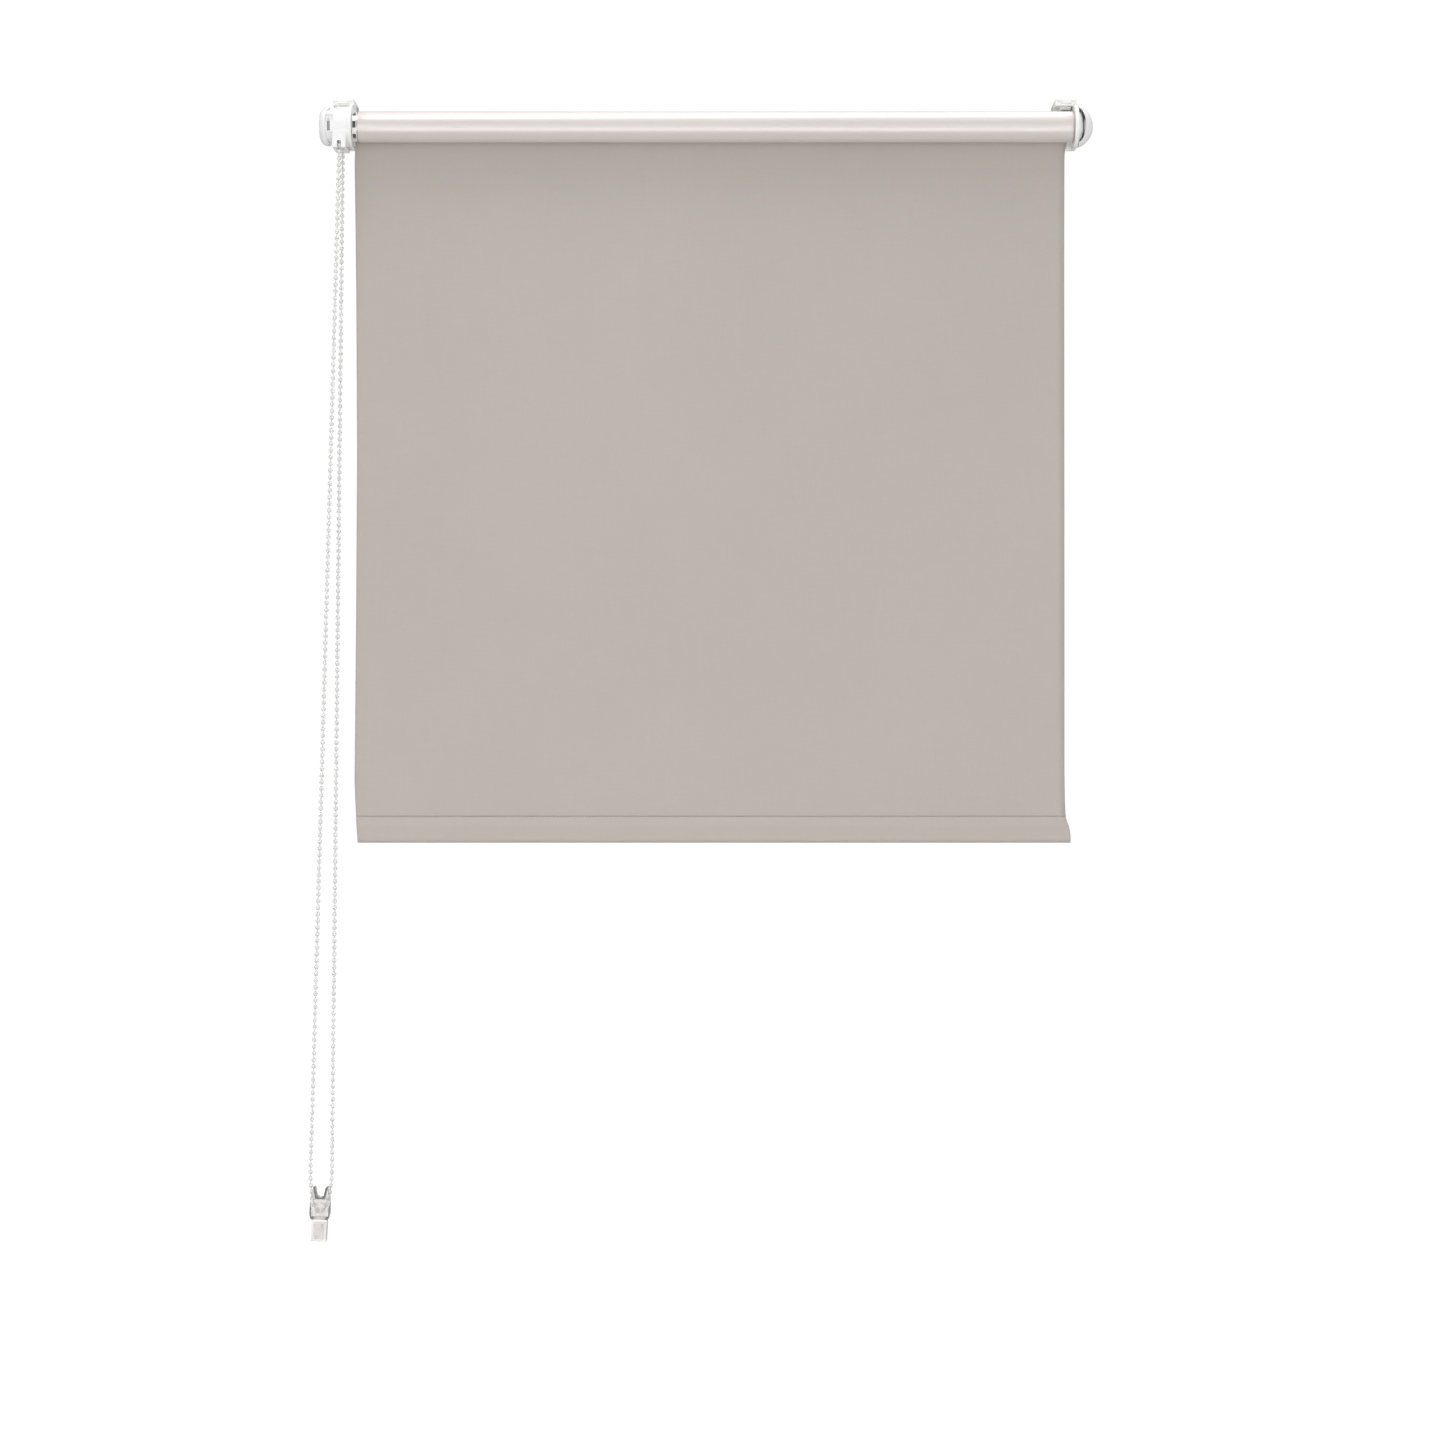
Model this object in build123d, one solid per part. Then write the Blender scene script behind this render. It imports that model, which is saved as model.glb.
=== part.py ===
from build123d import *
import math
import os

# Clamp-on roller blind, millimetres.
# +X runs to the right along the roller, -Y faces the room, +Z is up.
# The origin is on the top front edge of the window sash, midway between the two clamp
# hooks: Z = 0 is the underside of the hooks and Y = 0 is the room side of the sash.

# ---- Driving dimensions ----------------------------------------------------------------

AXIS_Y = -23.0
AXIS_Z = -24.0

FABRIC_WIDTH = 650.0
FABRIC_THICKNESS = 0.4
FABRIC_LEFT = -316.6
FABRIC_RIGHT = FABRIC_LEFT + FABRIC_WIDTH
WOUND_RADIUS = 14.0
ROLL_LEFT = -313.8
SEAM_Z = -650.0
HEM_HEIGHT = 24.0
HEM_THICKNESS = 5.4
HEM_SHOULDER = 5.5
BAR_HEIGHT = 15.0
BAR_WALL = 0.9
BAR_INSET = 10.0
BAR_CAP_FLANGE = 2.0
BAR_CAP_TONGUE = 12.0

TUBE_RADIUS = 12.5
TUBE_WALL = 1.0
TUBE_INNER_RADIUS = TUBE_RADIUS - TUBE_WALL
TUBE_ENDS = (ROLL_LEFT - 1.0, FABRIC_RIGHT + 0.3)
KEY_WIDTH = 2.0
KEY_HEIGHT = 1.2
TAPE_WIDTH = 10.0
TAPE_THICKNESS = 0.22

FIT = 0.05
SLIDE_GAP = 0.15
SOFT_GAP = 0.3
SCREW_GAP = 0.25

HOOK_X = 328.2
HOOK_WIDTH = 19.0
HOOK_THICKNESS = 2.0
HOOK_BEND_RADIUS = 3.0
HOOK_OPEN = 7.0
HOOK_CLOSE = 6.0
SASH_THICKNESS = 18.0
PAD_THICKNESS = 1.0
LIP_THICKNESS = 2.2
LIP_DEPTH = 14.0
TONGUE_FRONT_Y = -21.0
RAIL_WIDTH = 8.0
RAIL_DEPTH = 2.0
RAIL_BACK_Y = -8.2
GRIP_RIB_WIDTH = 0.6
GRIP_RIB_PITCH = 1.5
GRIP_RIB_HEIGHT = 0.25
GRIP_RIBS = 7

SHELF_TOP_Z = -SLIDE_GAP
SHELF_THICKNESS = 3.9
SHELF_BOTTOM_Z = SHELF_TOP_Z - SHELF_THICKNESS
SHELF_FRONT_Y = -20.4
PLATE_THICKNESS = 3.0
PLATE_FRONT_Y = -PAD_THICKNESS - PLATE_THICKNESS
PLATE_BOTTOM_Z = -42.0
BACK_PAD_TOP_Z = -16.0
CHEEK_RADIUS = 19.0
LEFT_CHEEK = (-321.8, -319.2)
RIGHT_CHEEK = (334.6, 337.8)
NECK_HOLE_RADIUS = 9.5
WALL_SCREW_RADIUS = 2.1
WALL_SCREW_Z = (-19.5, -37.5)

SCREW_Y = -10.0
SCREW_RADIUS = 1.95
SCREW_HEAD_RADIUS = 3.8
SCREW_HEAD_HEIGHT = 1.0
CROSS_SLOT = (4.2, 1.0, 1.2)
NUT_SIZE = 7.0
NUT_HEIGHT = 2.2
NUT_WALL = 1.3
NUT_BOSS_Z = -6.6

BEAD_RADIUS = 2.15
BEAD_PITCH = 6.0
SPROCKET_POCKETS = 13
SPROCKET_PITCH_RADIUS = BEAD_PITCH / 2 / math.sin(math.pi / SPROCKET_POCKETS)
SPROCKET_RADIUS = 14.6
SPROCKET_HALF_WIDTH = 4.4
POCKET_CIRCLE = 13.4
POCKET_RADIUS = 3.1
GROOVE_RADIUS = BEAD_RADIUS + 0.35
CHAIN_X = -330.0
SPINDLE_RADIUS = 4.0
SPINDLE_HEAD_RADIUS = 7.0
SPINDLE_HEAD_LENGTH = 2.0
SPINDLE_END_X = -295.6

HOUSING = (-339.0, -321.8)
HOUSING_RADIUS = 17.4
HOUSING_WALL = 1.8
HOUSING_CAVITY_RADIUS = 15.2
HOUSING_NECK_RADIUS = 16.2
HOUSING_NECK_X = -335.2
HOUSING_STEP_RADIUS = 18.2
HOUSING_STEP_X = -329.4
HOUSING_FLOOR_X = HOUSING[0] + HOUSING_WALL
SKIRT_DROP = 21.0
SKIRT_WIDTH = 12.0
SKIRT_HALF_DEPTH = 16.4
SKIRT_WINDOW_WIDTH = 7.0
SKIRT_WINDOW_DEPTH = 18.0
CHAIN_EXIT_Z = AXIS_Z - SKIRT_DROP
GUIDE_GAP = 0.75
BEAD_SLIT_WIDTH = 3.4
PEG_CIRCLE = 16.3
PEG_ANGLES = (38, 142, 270)
PEG_RADIUS = 1.5
PEG_LENGTH = 2.4
PEG_FOOT_RADIUS = 1.7
PEG_FOOT_LENGTH = 3.6
SPIGOT_RADIUS = 15.5
SPIGOT_WALL = 3.0
SPIGOT_LENGTH = 4.4
LATCH_RIB_Z = (AXIS_Z + 8.4, AXIS_Z - 7.4)
LATCH_RIB_THICKNESS = 1.0
LATCH_WINDOW_X = (-341.0, -338.2)
LATCH_WINDOW_RADIUS = 13.2
CAP_RADIUS = 17.4
CAP_WALL = 1.6
CAP_SEAT_DEPTH = 1.7
CAP_FLAT_EDGE = 1.2
CAP_OPENING_HALF_HEIGHT = 15.2
LEFT_CAP = (-340.2, -348.8)
LEFT_CAP_OPENING = 2.6
RIGHT_CAP = (338.4, 352.2)
RIGHT_CAP_OPENING = 5.7
RIGHT_CAP_RADIUS = 18.8

COLLAR = (-318.9, TUBE_ENDS[0])
COLLAR_RADIUS = 13.4
COLLAR_GAPS = 7
COLLAR_GAP_BOX = (3.0, 6.2, 3.6)
NECK_RADIUS = 8.0
NECK_END_X = -317.4
HEX_ACROSS_FLATS = 13.0
HEX_LENGTH = 8.4
DRIVE_PLUG_END_X = -295.0
BRAKE_SPRING = (-308.4, -298.6)
BRAKE_WIRE_RADIUS = 0.7
BRAKE_ROOM_RADIUS = 5.6
BRAKE_ROOM = (-308.8, -298.0)

IDLE_PLUG_START_X = 308.0
IDLE_FLANGE = 0.6
PIN_RADIUS = 3.0
PIN_TAIL_RADIUS = 2.0
PIN_COLLAR_RADIUS = 5.6
PIN_STATIONS = (319.6, 327.5, 329.5, 341.2)
PIN_CHAMFER = 0.6
PIN_ROOM_RADIUS = 6.1
PIN_ROOM = (312.0, 329.6)
PIN_WIRE_RADIUS = 0.8
PIN_SPRING = (312.1, 327.4)
BEARING = (337.8, 343.2)
BEARING_RADIUS = 14.4
BEARING_SPIGOT_RADIUS = 6.0
CAP_POST_RADIUS = 5.0
CAP_POST_LENGTH = 4.0
CAP_SOCKET_RADIUS = 7.0

# The chain loop from the front mouth of the housing, down to the weight, round the post
# inside the weight and back up to the rear mouth. The strands carry the weight, so they
# are straight. scene.py repeats these points in metres.
CHAIN_ROUTE = [
    (-330.0, -35.5, -45.5),
    (-358.0, -23.0, -984.9),
    (-353.2, -23.0, -1008.1),
    (-344.8, -23.0, -1008.4),
    (-338.4, -23.0, -985.5),
    (-330.0, -10.5, -45.5),
]

# The weight has its own frame: its horn tips are at Z = 0 and it hangs down from there.
WEIGHT_TOP = (-348.2, -23.0, -985.2)
WEIGHT_TILT = 2.0
WEIGHT_HALF_WIDTH = 9.1
WEIGHT_SHELL_DEPTH = 5.0
WEIGHT_WALL = 1.2
WEIGHT_SHELL_BOTTOM = -29.4
WEIGHT_SNAP = (7.2, 0.8, 2.2)
WEIGHT_SNAP_Z = -27.5
WEIGHT_MOUTH_X = 7.6
WEIGHT_MOUTH_Z = -9.0
WEIGHT_MOUTH_SIZE = (5.4, 18.0)
WEIGHT_MOUTH_LEAN = 13.6
WEIGHT_ROOM_Z = (-27.0, -11.2)
WEIGHT_POST_CENTRE = -17.0
WEIGHT_POST_RADIUS = 2.6
WEIGHT_BASE_WIDTH = 14.2
WEIGHT_BASE_DEPTH = 8.6
WEIGHT_BASE_BOTTOM = -49.5
WEIGHT_TENON_HALF = (5.1, 2.5)
WEIGHT_TENON_TOP = -27.3
FLUTE_PITCH = 2.6
FLUTE_WIDTH = 0.9
FLUTE_DEPTH = 0.5
FLUTE_Z = (-45.6, -33.6)
SLUG_HALF = (5.1, 2.6)
SLUG_Z = (-47.5, -32.5)


# ---- Shape helpers ---------------------------------------------------------------------

def centred(middle, half):
    """The two limits of something centred on a station."""
    return (middle - half, middle + half)


def block(x, y, z):
    """A box between two limits on each axis."""
    size = [abs(span[1] - span[0]) for span in (x, y, z)]
    middle = [(span[0] + span[1]) / 2 for span in (x, y, z)]
    return Location(tuple(middle)) * Box(*size)


def rod_x(radius, x, y, z):
    """A cylinder along X between two stations."""
    return Location(((x[0] + x[1]) / 2, y, z), (0, 90, 0)) * Cylinder(radius, abs(x[1] - x[0]))


def rod_y(radius, x, z, y):
    """A cylinder along Y between two stations."""
    return Location((x, (y[0] + y[1]) / 2, z), (90, 0, 0)) * Cylinder(radius, abs(y[1] - y[0]))


def rod_z(radius, x, y, z):
    """A cylinder along Z between two stations."""
    return Location((x, y, (z[0] + z[1]) / 2)) * Cylinder(radius, abs(z[1] - z[0]))


def on_axis(radius, x):
    """A solid cylinder on the roller axis between two X stations."""
    return rod_x(radius, x, AXIS_Y, AXIS_Z)


def ring(outer, inner, x):
    """A tube on the roller axis between two X stations."""
    return on_axis(outer, x) - on_axis(inner, x)


def hexagon_on_axis(across_flats, start_x, length):
    """A six-sided bar on the roller axis."""
    outline = RegularPolygon(across_flats / 2, 6, major_radius=False)
    return Location((start_x, AXIS_Y, AXIS_Z), (0, 90, 0)) * extrude(outline, length)


def prism_x(outline, x):
    """A closed (y, z) outline extruded between two X stations."""
    face = Plane.YZ * make_face(Polyline(outline, close=True))
    return Location((x[0], 0, 0)) * extrude(face, x[1] - x[0], dir=(1, 0, 0))


def slot_z(radius, x, y, z):
    """A vertical slot with round ends that runs along Y between two screw positions."""
    ends = rod_z(radius, x, y[0], z) + rod_z(radius, x, y[1], z)
    return ends + block(centred(x, radius), y, z)


def coil_sleeve(mean_radius, wire_radius, x):
    """A close-wound spring as touching turns of wire on the roller axis."""
    pitch = 1.9 * wire_radius
    turns = int((x[1] - x[0] - 2 * wire_radius) / pitch) + 1
    first = (x[0] + x[1]) / 2 - (turns - 1) * pitch / 2
    sleeve = Part()
    for turn in range(turns):
        place = Location((first + turn * pitch, AXIS_Y, AXIS_Z), (0, 90, 0))
        sleeve += place * Torus(mean_radius, wire_radius)
    return sleeve


# ---- Clamp hooks -----------------------------------------------------------------------

def hook_strip(x):
    """Flat strip on the sash with a lip turned down behind it, and rounded corners."""
    lip_y = SASH_THICKNESS + PAD_THICKNESS
    lip_back_y = lip_y + LIP_THICKNESS
    outline = [
        (TONGUE_FRONT_Y, 0),
        (lip_y, 0),
        (lip_y, -LIP_DEPTH),
        (lip_back_y, -LIP_DEPTH),
        (lip_back_y, HOOK_THICKNESS),
        (TONGUE_FRONT_Y, HOOK_THICKNESS),
    ]
    strip = prism_x(outline, centred(x, HOOK_WIDTH / 2))
    bend = strip.edges().filter_by(Axis.X).sort_by(Axis.Y)[-2:].sort_by(Axis.Z)[-1]
    strip = fillet(bend, HOOK_BEND_RADIUS)
    front_corners = strip.edges().filter_by(Axis.Z).sort_by(Axis.Y)[:2]
    strip = fillet(front_corners, HOOK_BEND_RADIUS / 2)
    lip_corners = strip.edges().filter_by(Axis.Y).sort_by(Axis.Z)[:2]
    return fillet(lip_corners, HOOK_BEND_RADIUS)


def hook_grip_ribs(x):
    """Low ribs across the top of the hook for the thumb."""
    first_y = 2.0
    margin = 1.5
    z = (HOOK_THICKNESS - 0.1, HOOK_THICKNESS + GRIP_RIB_HEIGHT)
    ribs = Part()
    for rib in range(GRIP_RIBS):
        rib_y = first_y + rib * GRIP_RIB_PITCH
        ribs += block(centred(x, HOOK_WIDTH / 2 - margin), (rib_y, rib_y + GRIP_RIB_WIDTH), z)
    return ribs


def clamp_hook(x):
    """Hook that slides in the bracket's shelf, with a rail below and a slot for its screw."""
    strip = hook_strip(x)
    strip += block(centred(x, RAIL_WIDTH / 2), (TONGUE_FRONT_Y, RAIL_BACK_Y), (-RAIL_DEPTH, 0))
    screw_path = (SCREW_Y - HOOK_OPEN - SOFT_GAP, SCREW_Y + HOOK_CLOSE + SOFT_GAP)
    strip -= slot_z(SCREW_RADIUS + SCREW_GAP, x, screw_path, (-RAIL_DEPTH, HOOK_THICKNESS))
    recess_floor = HOOK_THICKNESS - SCREW_HEAD_HEIGHT - SLIDE_GAP
    strip -= slot_z(SCREW_HEAD_RADIUS + SCREW_GAP, x, screw_path, (recess_floor, HOOK_THICKNESS))
    return strip + hook_grip_ribs(x)


def lip_pad(x):
    """Rubber pad on the lip's face that grips the back of the sash."""
    margin = 2.0
    y = (SASH_THICKNESS, SASH_THICKNESS + PAD_THICKNESS)
    return block(centred(x, HOOK_WIDTH / 2 - margin), y, (-LIP_DEPTH + 2.5, -1.5))


# ---- Brackets --------------------------------------------------------------------------

def bracket_body(x, cheek):
    """Shelf for the hook, back plate on the sash and round cheek beside the roller."""
    half = HOOK_WIDTH / 2
    shelf = block(centred(x, half), (SHELF_FRONT_Y, -SLIDE_GAP), (SHELF_BOTTOM_Z, SHELF_TOP_Z))
    plate = block(centred(x, half), (PLATE_FRONT_Y, -PAD_THICKNESS), (PLATE_BOTTOM_Z, SHELF_BOTTOM_Z))
    web = block(cheek, (AXIS_Y, -PAD_THICKNESS), (PLATE_BOTTOM_Z, SHELF_BOTTOM_Z))
    body = shelf + plate + web + on_axis(CHEEK_RADIUS, cheek) + bracket_gusset(cheek)
    rail_room = RAIL_WIDTH / 2 + SLIDE_GAP
    body -= block(centred(x, rail_room), (SHELF_FRONT_Y, -SLIDE_GAP), (-RAIL_DEPTH - SLIDE_GAP, SHELF_TOP_Z))
    for z in WALL_SCREW_Z:
        body -= rod_y(WALL_SCREW_RADIUS, x, z, (PLATE_FRONT_Y, -PAD_THICKNESS))
    return body


def with_nut_boss(body, x):
    """The bracket with a boss under its shelf, a square nut pocket and the screw's hole."""
    boss_half = NUT_SIZE / 2 + NUT_WALL
    pocket_half = NUT_SIZE / 2 + FIT
    pocket_z = (NUT_BOSS_Z, NUT_BOSS_Z + NUT_HEIGHT + 2 * FIT)
    body += block(centred(x, boss_half), centred(SCREW_Y, boss_half), (NUT_BOSS_Z, SHELF_BOTTOM_Z))
    body -= block(centred(x, pocket_half), centred(SCREW_Y, pocket_half), pocket_z)
    return body - rod_z(SCREW_RADIUS + FIT, x, SCREW_Y, (NUT_BOSS_Z, SHELF_TOP_Z))


def bracket_gusset(cheek):
    """Sloping web under the shelf that carries the load into the cheek."""
    outline = [
        (PLATE_FRONT_Y, SHELF_BOTTOM_Z),
        (SHELF_FRONT_Y + 1.5, SHELF_BOTTOM_Z),
        (AXIS_Y - 6.0, AXIS_Z + CHEEK_RADIUS - 1.6),
        (AXIS_Y + 6.0, AXIS_Z + CHEEK_RADIUS - 4.0),
        (PLATE_FRONT_Y, AXIS_Z),
    ]
    return prism_x(outline, cheek)


def bracket_left():
    """Bracket on the chain side, with a wide hole for the sprocket's neck."""
    body = with_nut_boss(bracket_body(-HOOK_X, LEFT_CHEEK), -HOOK_X)
    body -= on_axis(NECK_HOLE_RADIUS, LEFT_CHEEK)
    for y, z in peg_places():
        body -= rod_x(PEG_RADIUS + FIT, LEFT_CHEEK, y, z)
    return body


def bracket_right():
    """Bracket on the idle side, with a seat for the bearing's spigot."""
    body = with_nut_boss(bracket_body(HOOK_X, RIGHT_CHEEK), HOOK_X)
    return body - on_axis(BEARING_SPIGOT_RADIUS + FIT, RIGHT_CHEEK)


def bracket_pads():
    """Rubber pads on the back plates, with holes for the wall screws."""
    margin = 1.0
    z = (PLATE_BOTTOM_Z + margin, BACK_PAD_TOP_Z)
    pads = []
    for x in (-HOOK_X, HOOK_X):
        pad = block(centred(x, HOOK_WIDTH / 2 - margin), (-PAD_THICKNESS, 0), z)
        for screw_z in WALL_SCREW_Z:
            pad -= rod_y(WALL_SCREW_RADIUS, x, screw_z, (-PAD_THICKNESS, 0))
        pads.append(pad)
    return Compound(pads)


def clamp_screws():
    """Low-head screws that lock each hook to its bracket."""
    head_z = (HOOK_THICKNESS - SCREW_HEAD_HEIGHT, HOOK_THICKNESS)
    screws = []
    for x in (-HOOK_X, HOOK_X):
        screw = rod_z(SCREW_HEAD_RADIUS, x, SCREW_Y, head_z)
        screw += rod_z(SCREW_RADIUS, x, SCREW_Y, (NUT_BOSS_Z + 0.2, head_z[0]))
        for angle in (0, 90):
            screw -= Location((x, SCREW_Y, HOOK_THICKNESS), (0, 0, angle)) * Box(*CROSS_SLOT)
        screws.append(screw)
    return Compound(screws)


def clamp_nuts():
    """Square nuts held in the pockets under the shelves."""
    z = (NUT_BOSS_Z + FIT, NUT_BOSS_Z + FIT + NUT_HEIGHT)
    nuts = []
    for x in (-HOOK_X, HOOK_X):
        nut = block(centred(x, NUT_SIZE / 2), centred(SCREW_Y, NUT_SIZE / 2), z)
        nuts.append(nut - rod_z(SCREW_RADIUS + FIT, x, SCREW_Y, z))
    return Compound(nuts)


# ---- Chain drive -----------------------------------------------------------------------

def peg_places():
    """Where the housing's pegs go through the left cheek, as (y, z)."""
    angles = [math.radians(degrees) for degrees in PEG_ANGLES]
    return [(AXIS_Y + PEG_CIRCLE * math.cos(a), AXIS_Z + PEG_CIRCLE * math.sin(a)) for a in angles]


def housing_cup():
    """Stepped cup over the sprocket with a skirt below it and a ring for the cap outside."""
    body = on_axis(HOUSING_NECK_RADIUS, (HOUSING[0], HOUSING_NECK_X))
    body += on_axis(HOUSING_RADIUS, (HOUSING_NECK_X, HOUSING[1]))
    body += on_axis(HOUSING_STEP_RADIUS, (HOUSING_STEP_X, HOUSING[1])) + housing_shoulder()
    skirt_y = centred(AXIS_Y, SKIRT_HALF_DEPTH)
    body += block(centred(CHAIN_X, SKIRT_WIDTH / 2), skirt_y, (CHAIN_EXIT_Z, AXIS_Z - 6.0))
    body += ring(SPIGOT_RADIUS, SPIGOT_RADIUS - SPIGOT_WALL, (HOUSING[0] - SPIGOT_LENGTH, HOUSING[0]))
    return body - on_axis(HOUSING_CAVITY_RADIUS, (HOUSING_FLOOR_X, HOUSING[1]))


def housing_shoulder():
    """The step's edge, which leans out to the end of the shelf above."""
    outline = [
        (HOUSING_NECK_X, AXIS_Z + HOUSING_STEP_RADIUS),
        (HOUSING_NECK_X, AXIS_Z + HOUSING_RADIUS),
        (HOUSING_STEP_X, AXIS_Z + HOUSING_RADIUS - 4.5),
        (HOUSING_STEP_X + 1.0, AXIS_Z + HOUSING_RADIUS - 4.5),
        (HOUSING_STEP_X + 1.0, AXIS_Z + HOUSING_STEP_RADIUS),
    ]
    face = Plane.XZ * make_face(Polyline(outline, close=True))
    lean = Location((0, AXIS_Y, 0)) * extrude(face, 2 * HOUSING_RADIUS, dir=(0, -1, 0))
    return lean & ring(HOUSING_STEP_RADIUS, HOUSING_RADIUS - 1.0, (HOUSING_NECK_X, HOUSING_STEP_X + 1.0))


def strand_guides():
    """What is cut from the skirt: a bore for each strand, the room between and a bead slit."""
    cuts = block(
        centred(CHAIN_X, SKIRT_WINDOW_WIDTH / 2),
        centred(AXIS_Y, SKIRT_WINDOW_DEPTH / 2),
        (CHAIN_EXIT_Z, AXIS_Z - 14.0),
    )
    for side in (-1, 1):
        strand_y = AXIS_Y + side * SPROCKET_PITCH_RADIUS
        cuts += rod_z(BEAD_RADIUS + GUIDE_GAP, CHAIN_X, strand_y, (CHAIN_EXIT_Z, AXIS_Z))
    slit_y = (AXIS_Y - CAP_RADIUS, AXIS_Y - SPROCKET_PITCH_RADIUS)
    return cuts + block(centred(CHAIN_X, BEAD_SLIT_WIDTH / 2), slit_y, (CHAIN_EXIT_Z, AXIS_Z - 15.0))


def housing_latch(body):
    """The housing with two latch ribs across the front of its neck and a recess between them."""
    rib_x = (LEFT_CAP[0] - LEFT_CAP_OPENING + 0.8, HOUSING_NECK_X)
    rib_y = (AXIS_Y - HOUSING_RADIUS, AXIS_Y - 10.0)
    for z in LATCH_RIB_Z:
        rib = block(rib_x, rib_y, (z, z + LATCH_RIB_THICKNESS))
        body += rib - on_axis(SPIGOT_RADIUS - 0.2, rib_x)
    window_z = (LATCH_RIB_Z[1] + LATCH_RIB_THICKNESS, LATCH_RIB_Z[0] - 4.0)
    return body - block(LATCH_WINDOW_X, (AXIS_Y - CAP_RADIUS, AXIS_Y - LATCH_WINDOW_RADIUS), window_z)


def chain_housing():
    """Cup over the sprocket with guides for both strands and pegs into the left cheek."""
    body = housing_cup() - strand_guides()
    boss_x = (HOUSING_FLOOR_X, HOUSING_FLOOR_X + 2.0)
    body += on_axis(SPINDLE_HEAD_RADIUS, boss_x)
    body -= on_axis(SPINDLE_RADIUS + FIT / 2, (HOUSING[0], boss_x[1]))
    for y, z in peg_places():
        body += rod_x(PEG_RADIUS, (LEFT_CHEEK[0], LEFT_CHEEK[0] + PEG_LENGTH), y, z)
        body += rod_x(PEG_FOOT_RADIUS, (HOUSING[1] - PEG_FOOT_LENGTH, HOUSING[1]), y, z)
    return housing_latch(body)


def rounded_disc(span, radius, edge):
    """Solid disc on the roller axis; span[1] is its crown, whose edge is rounded."""
    disc = on_axis(radius, span)
    rims = disc.edges().filter_by(GeomType.CIRCLE).sort_by(Axis.X)
    crown_rim = rims[-1] if span[1] > span[0] else rims[0]
    return fillet(crown_rim, edge)


def domed_shell(span, radius):
    """Hollow domed cap on the roller axis, open at span[0]; span[1] is the crown."""
    out = 1 if span[1] > span[0] else -1
    edge = abs(span[1] - span[0]) - CAP_FLAT_EDGE
    outside = rounded_disc(span, radius, edge)
    return outside - rounded_disc((span[0], span[1] - out * CAP_WALL), radius - CAP_WALL, edge - CAP_WALL)


def front_opening(base_x, reach):
    """Half-oval cut through the front of a cap's rim, centred on its base."""
    place = Location((base_x, AXIS_Y - PIN_RADIUS, AXIS_Z), (90, 0, 0))
    return place * extrude(Ellipse(reach, CAP_OPENING_HALF_HEIGHT), 2 * CAP_RADIUS)


def housing_cap():
    """Domed cover on the outside of the chain housing, with a seat for its ring."""
    seat_x = (LEFT_CAP[0] - CAP_SEAT_DEPTH, LEFT_CAP[0])
    cap = domed_shell(LEFT_CAP, CAP_RADIUS) + ring(CAP_RADIUS - 0.5, SPIGOT_RADIUS + FIT, seat_x)
    return cap - front_opening(LEFT_CAP[0], LEFT_CAP_OPENING)


def clutch_spindle():
    """Fixed axle that the sprocket, brake spring and drive plug turn on."""
    head = on_axis(SPINDLE_HEAD_RADIUS, (HOUSING[0] - SPINDLE_HEAD_LENGTH, HOUSING[0]))
    slot_x = (HOUSING[0] - SPINDLE_HEAD_LENGTH, HOUSING[0] - 1.0)
    driver_slot = block(slot_x, centred(AXIS_Y, 1.0), centred(AXIS_Z, 5.0))
    return head + on_axis(SPINDLE_RADIUS, (HOUSING[0], SPINDLE_END_X)) - driver_slot


def chain_sprocket():
    """Wheel with a round groove and a pocket for each bead, and a hexagonal driver."""
    wheel = on_axis(SPROCKET_RADIUS, centred(CHAIN_X, SPROCKET_HALF_WIDTH))
    wheel -= Location((CHAIN_X, AXIS_Y, AXIS_Z), (0, 90, 0)) * Torus(SPROCKET_PITCH_RADIUS, GROOVE_RADIUS)
    wheel -= ring(SPROCKET_RADIUS + 0.4, SPROCKET_PITCH_RADIUS, centred(CHAIN_X, GROOVE_RADIUS))
    for pocket in range(SPROCKET_POCKETS):
        angle = 2 * math.pi * pocket / SPROCKET_POCKETS
        y = AXIS_Y + POCKET_CIRCLE * math.cos(angle)
        z = AXIS_Z + POCKET_CIRCLE * math.sin(angle)
        wheel -= Location((CHAIN_X, y, z)) * Sphere(POCKET_RADIUS)
    wheel += on_axis(NECK_RADIUS, (CHAIN_X + SPROCKET_HALF_WIDTH, NECK_END_X))
    wheel += hexagon_on_axis(HEX_ACROSS_FLATS, NECK_END_X, HEX_LENGTH)
    bore_x = (CHAIN_X - SPROCKET_HALF_WIDTH, NECK_END_X + HEX_LENGTH)
    return wheel - on_axis(SPINDLE_RADIUS + FIT, bore_x)


def brake_spring():
    """Wrap spring that grips the spindle when the fabric pulls on the roller."""
    return coil_sleeve(SPINDLE_RADIUS + FIT + BRAKE_WIRE_RADIUS, BRAKE_WIRE_RADIUS, BRAKE_SPRING)


def castellated_collar():
    """Collar beside the roll with gaps cut round its rim."""
    collar = on_axis(COLLAR_RADIUS, COLLAR)
    middle_x = (COLLAR[0] + COLLAR[1]) / 2
    for gap in range(COLLAR_GAPS):
        turned = Location((middle_x, AXIS_Y, AXIS_Z), (90.0 + 360.0 * gap / COLLAR_GAPS, 0, 0))
        collar -= turned * Location((0, 0, COLLAR_RADIUS - 0.8)) * Box(*COLLAR_GAP_BOX)
    return collar


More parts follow.
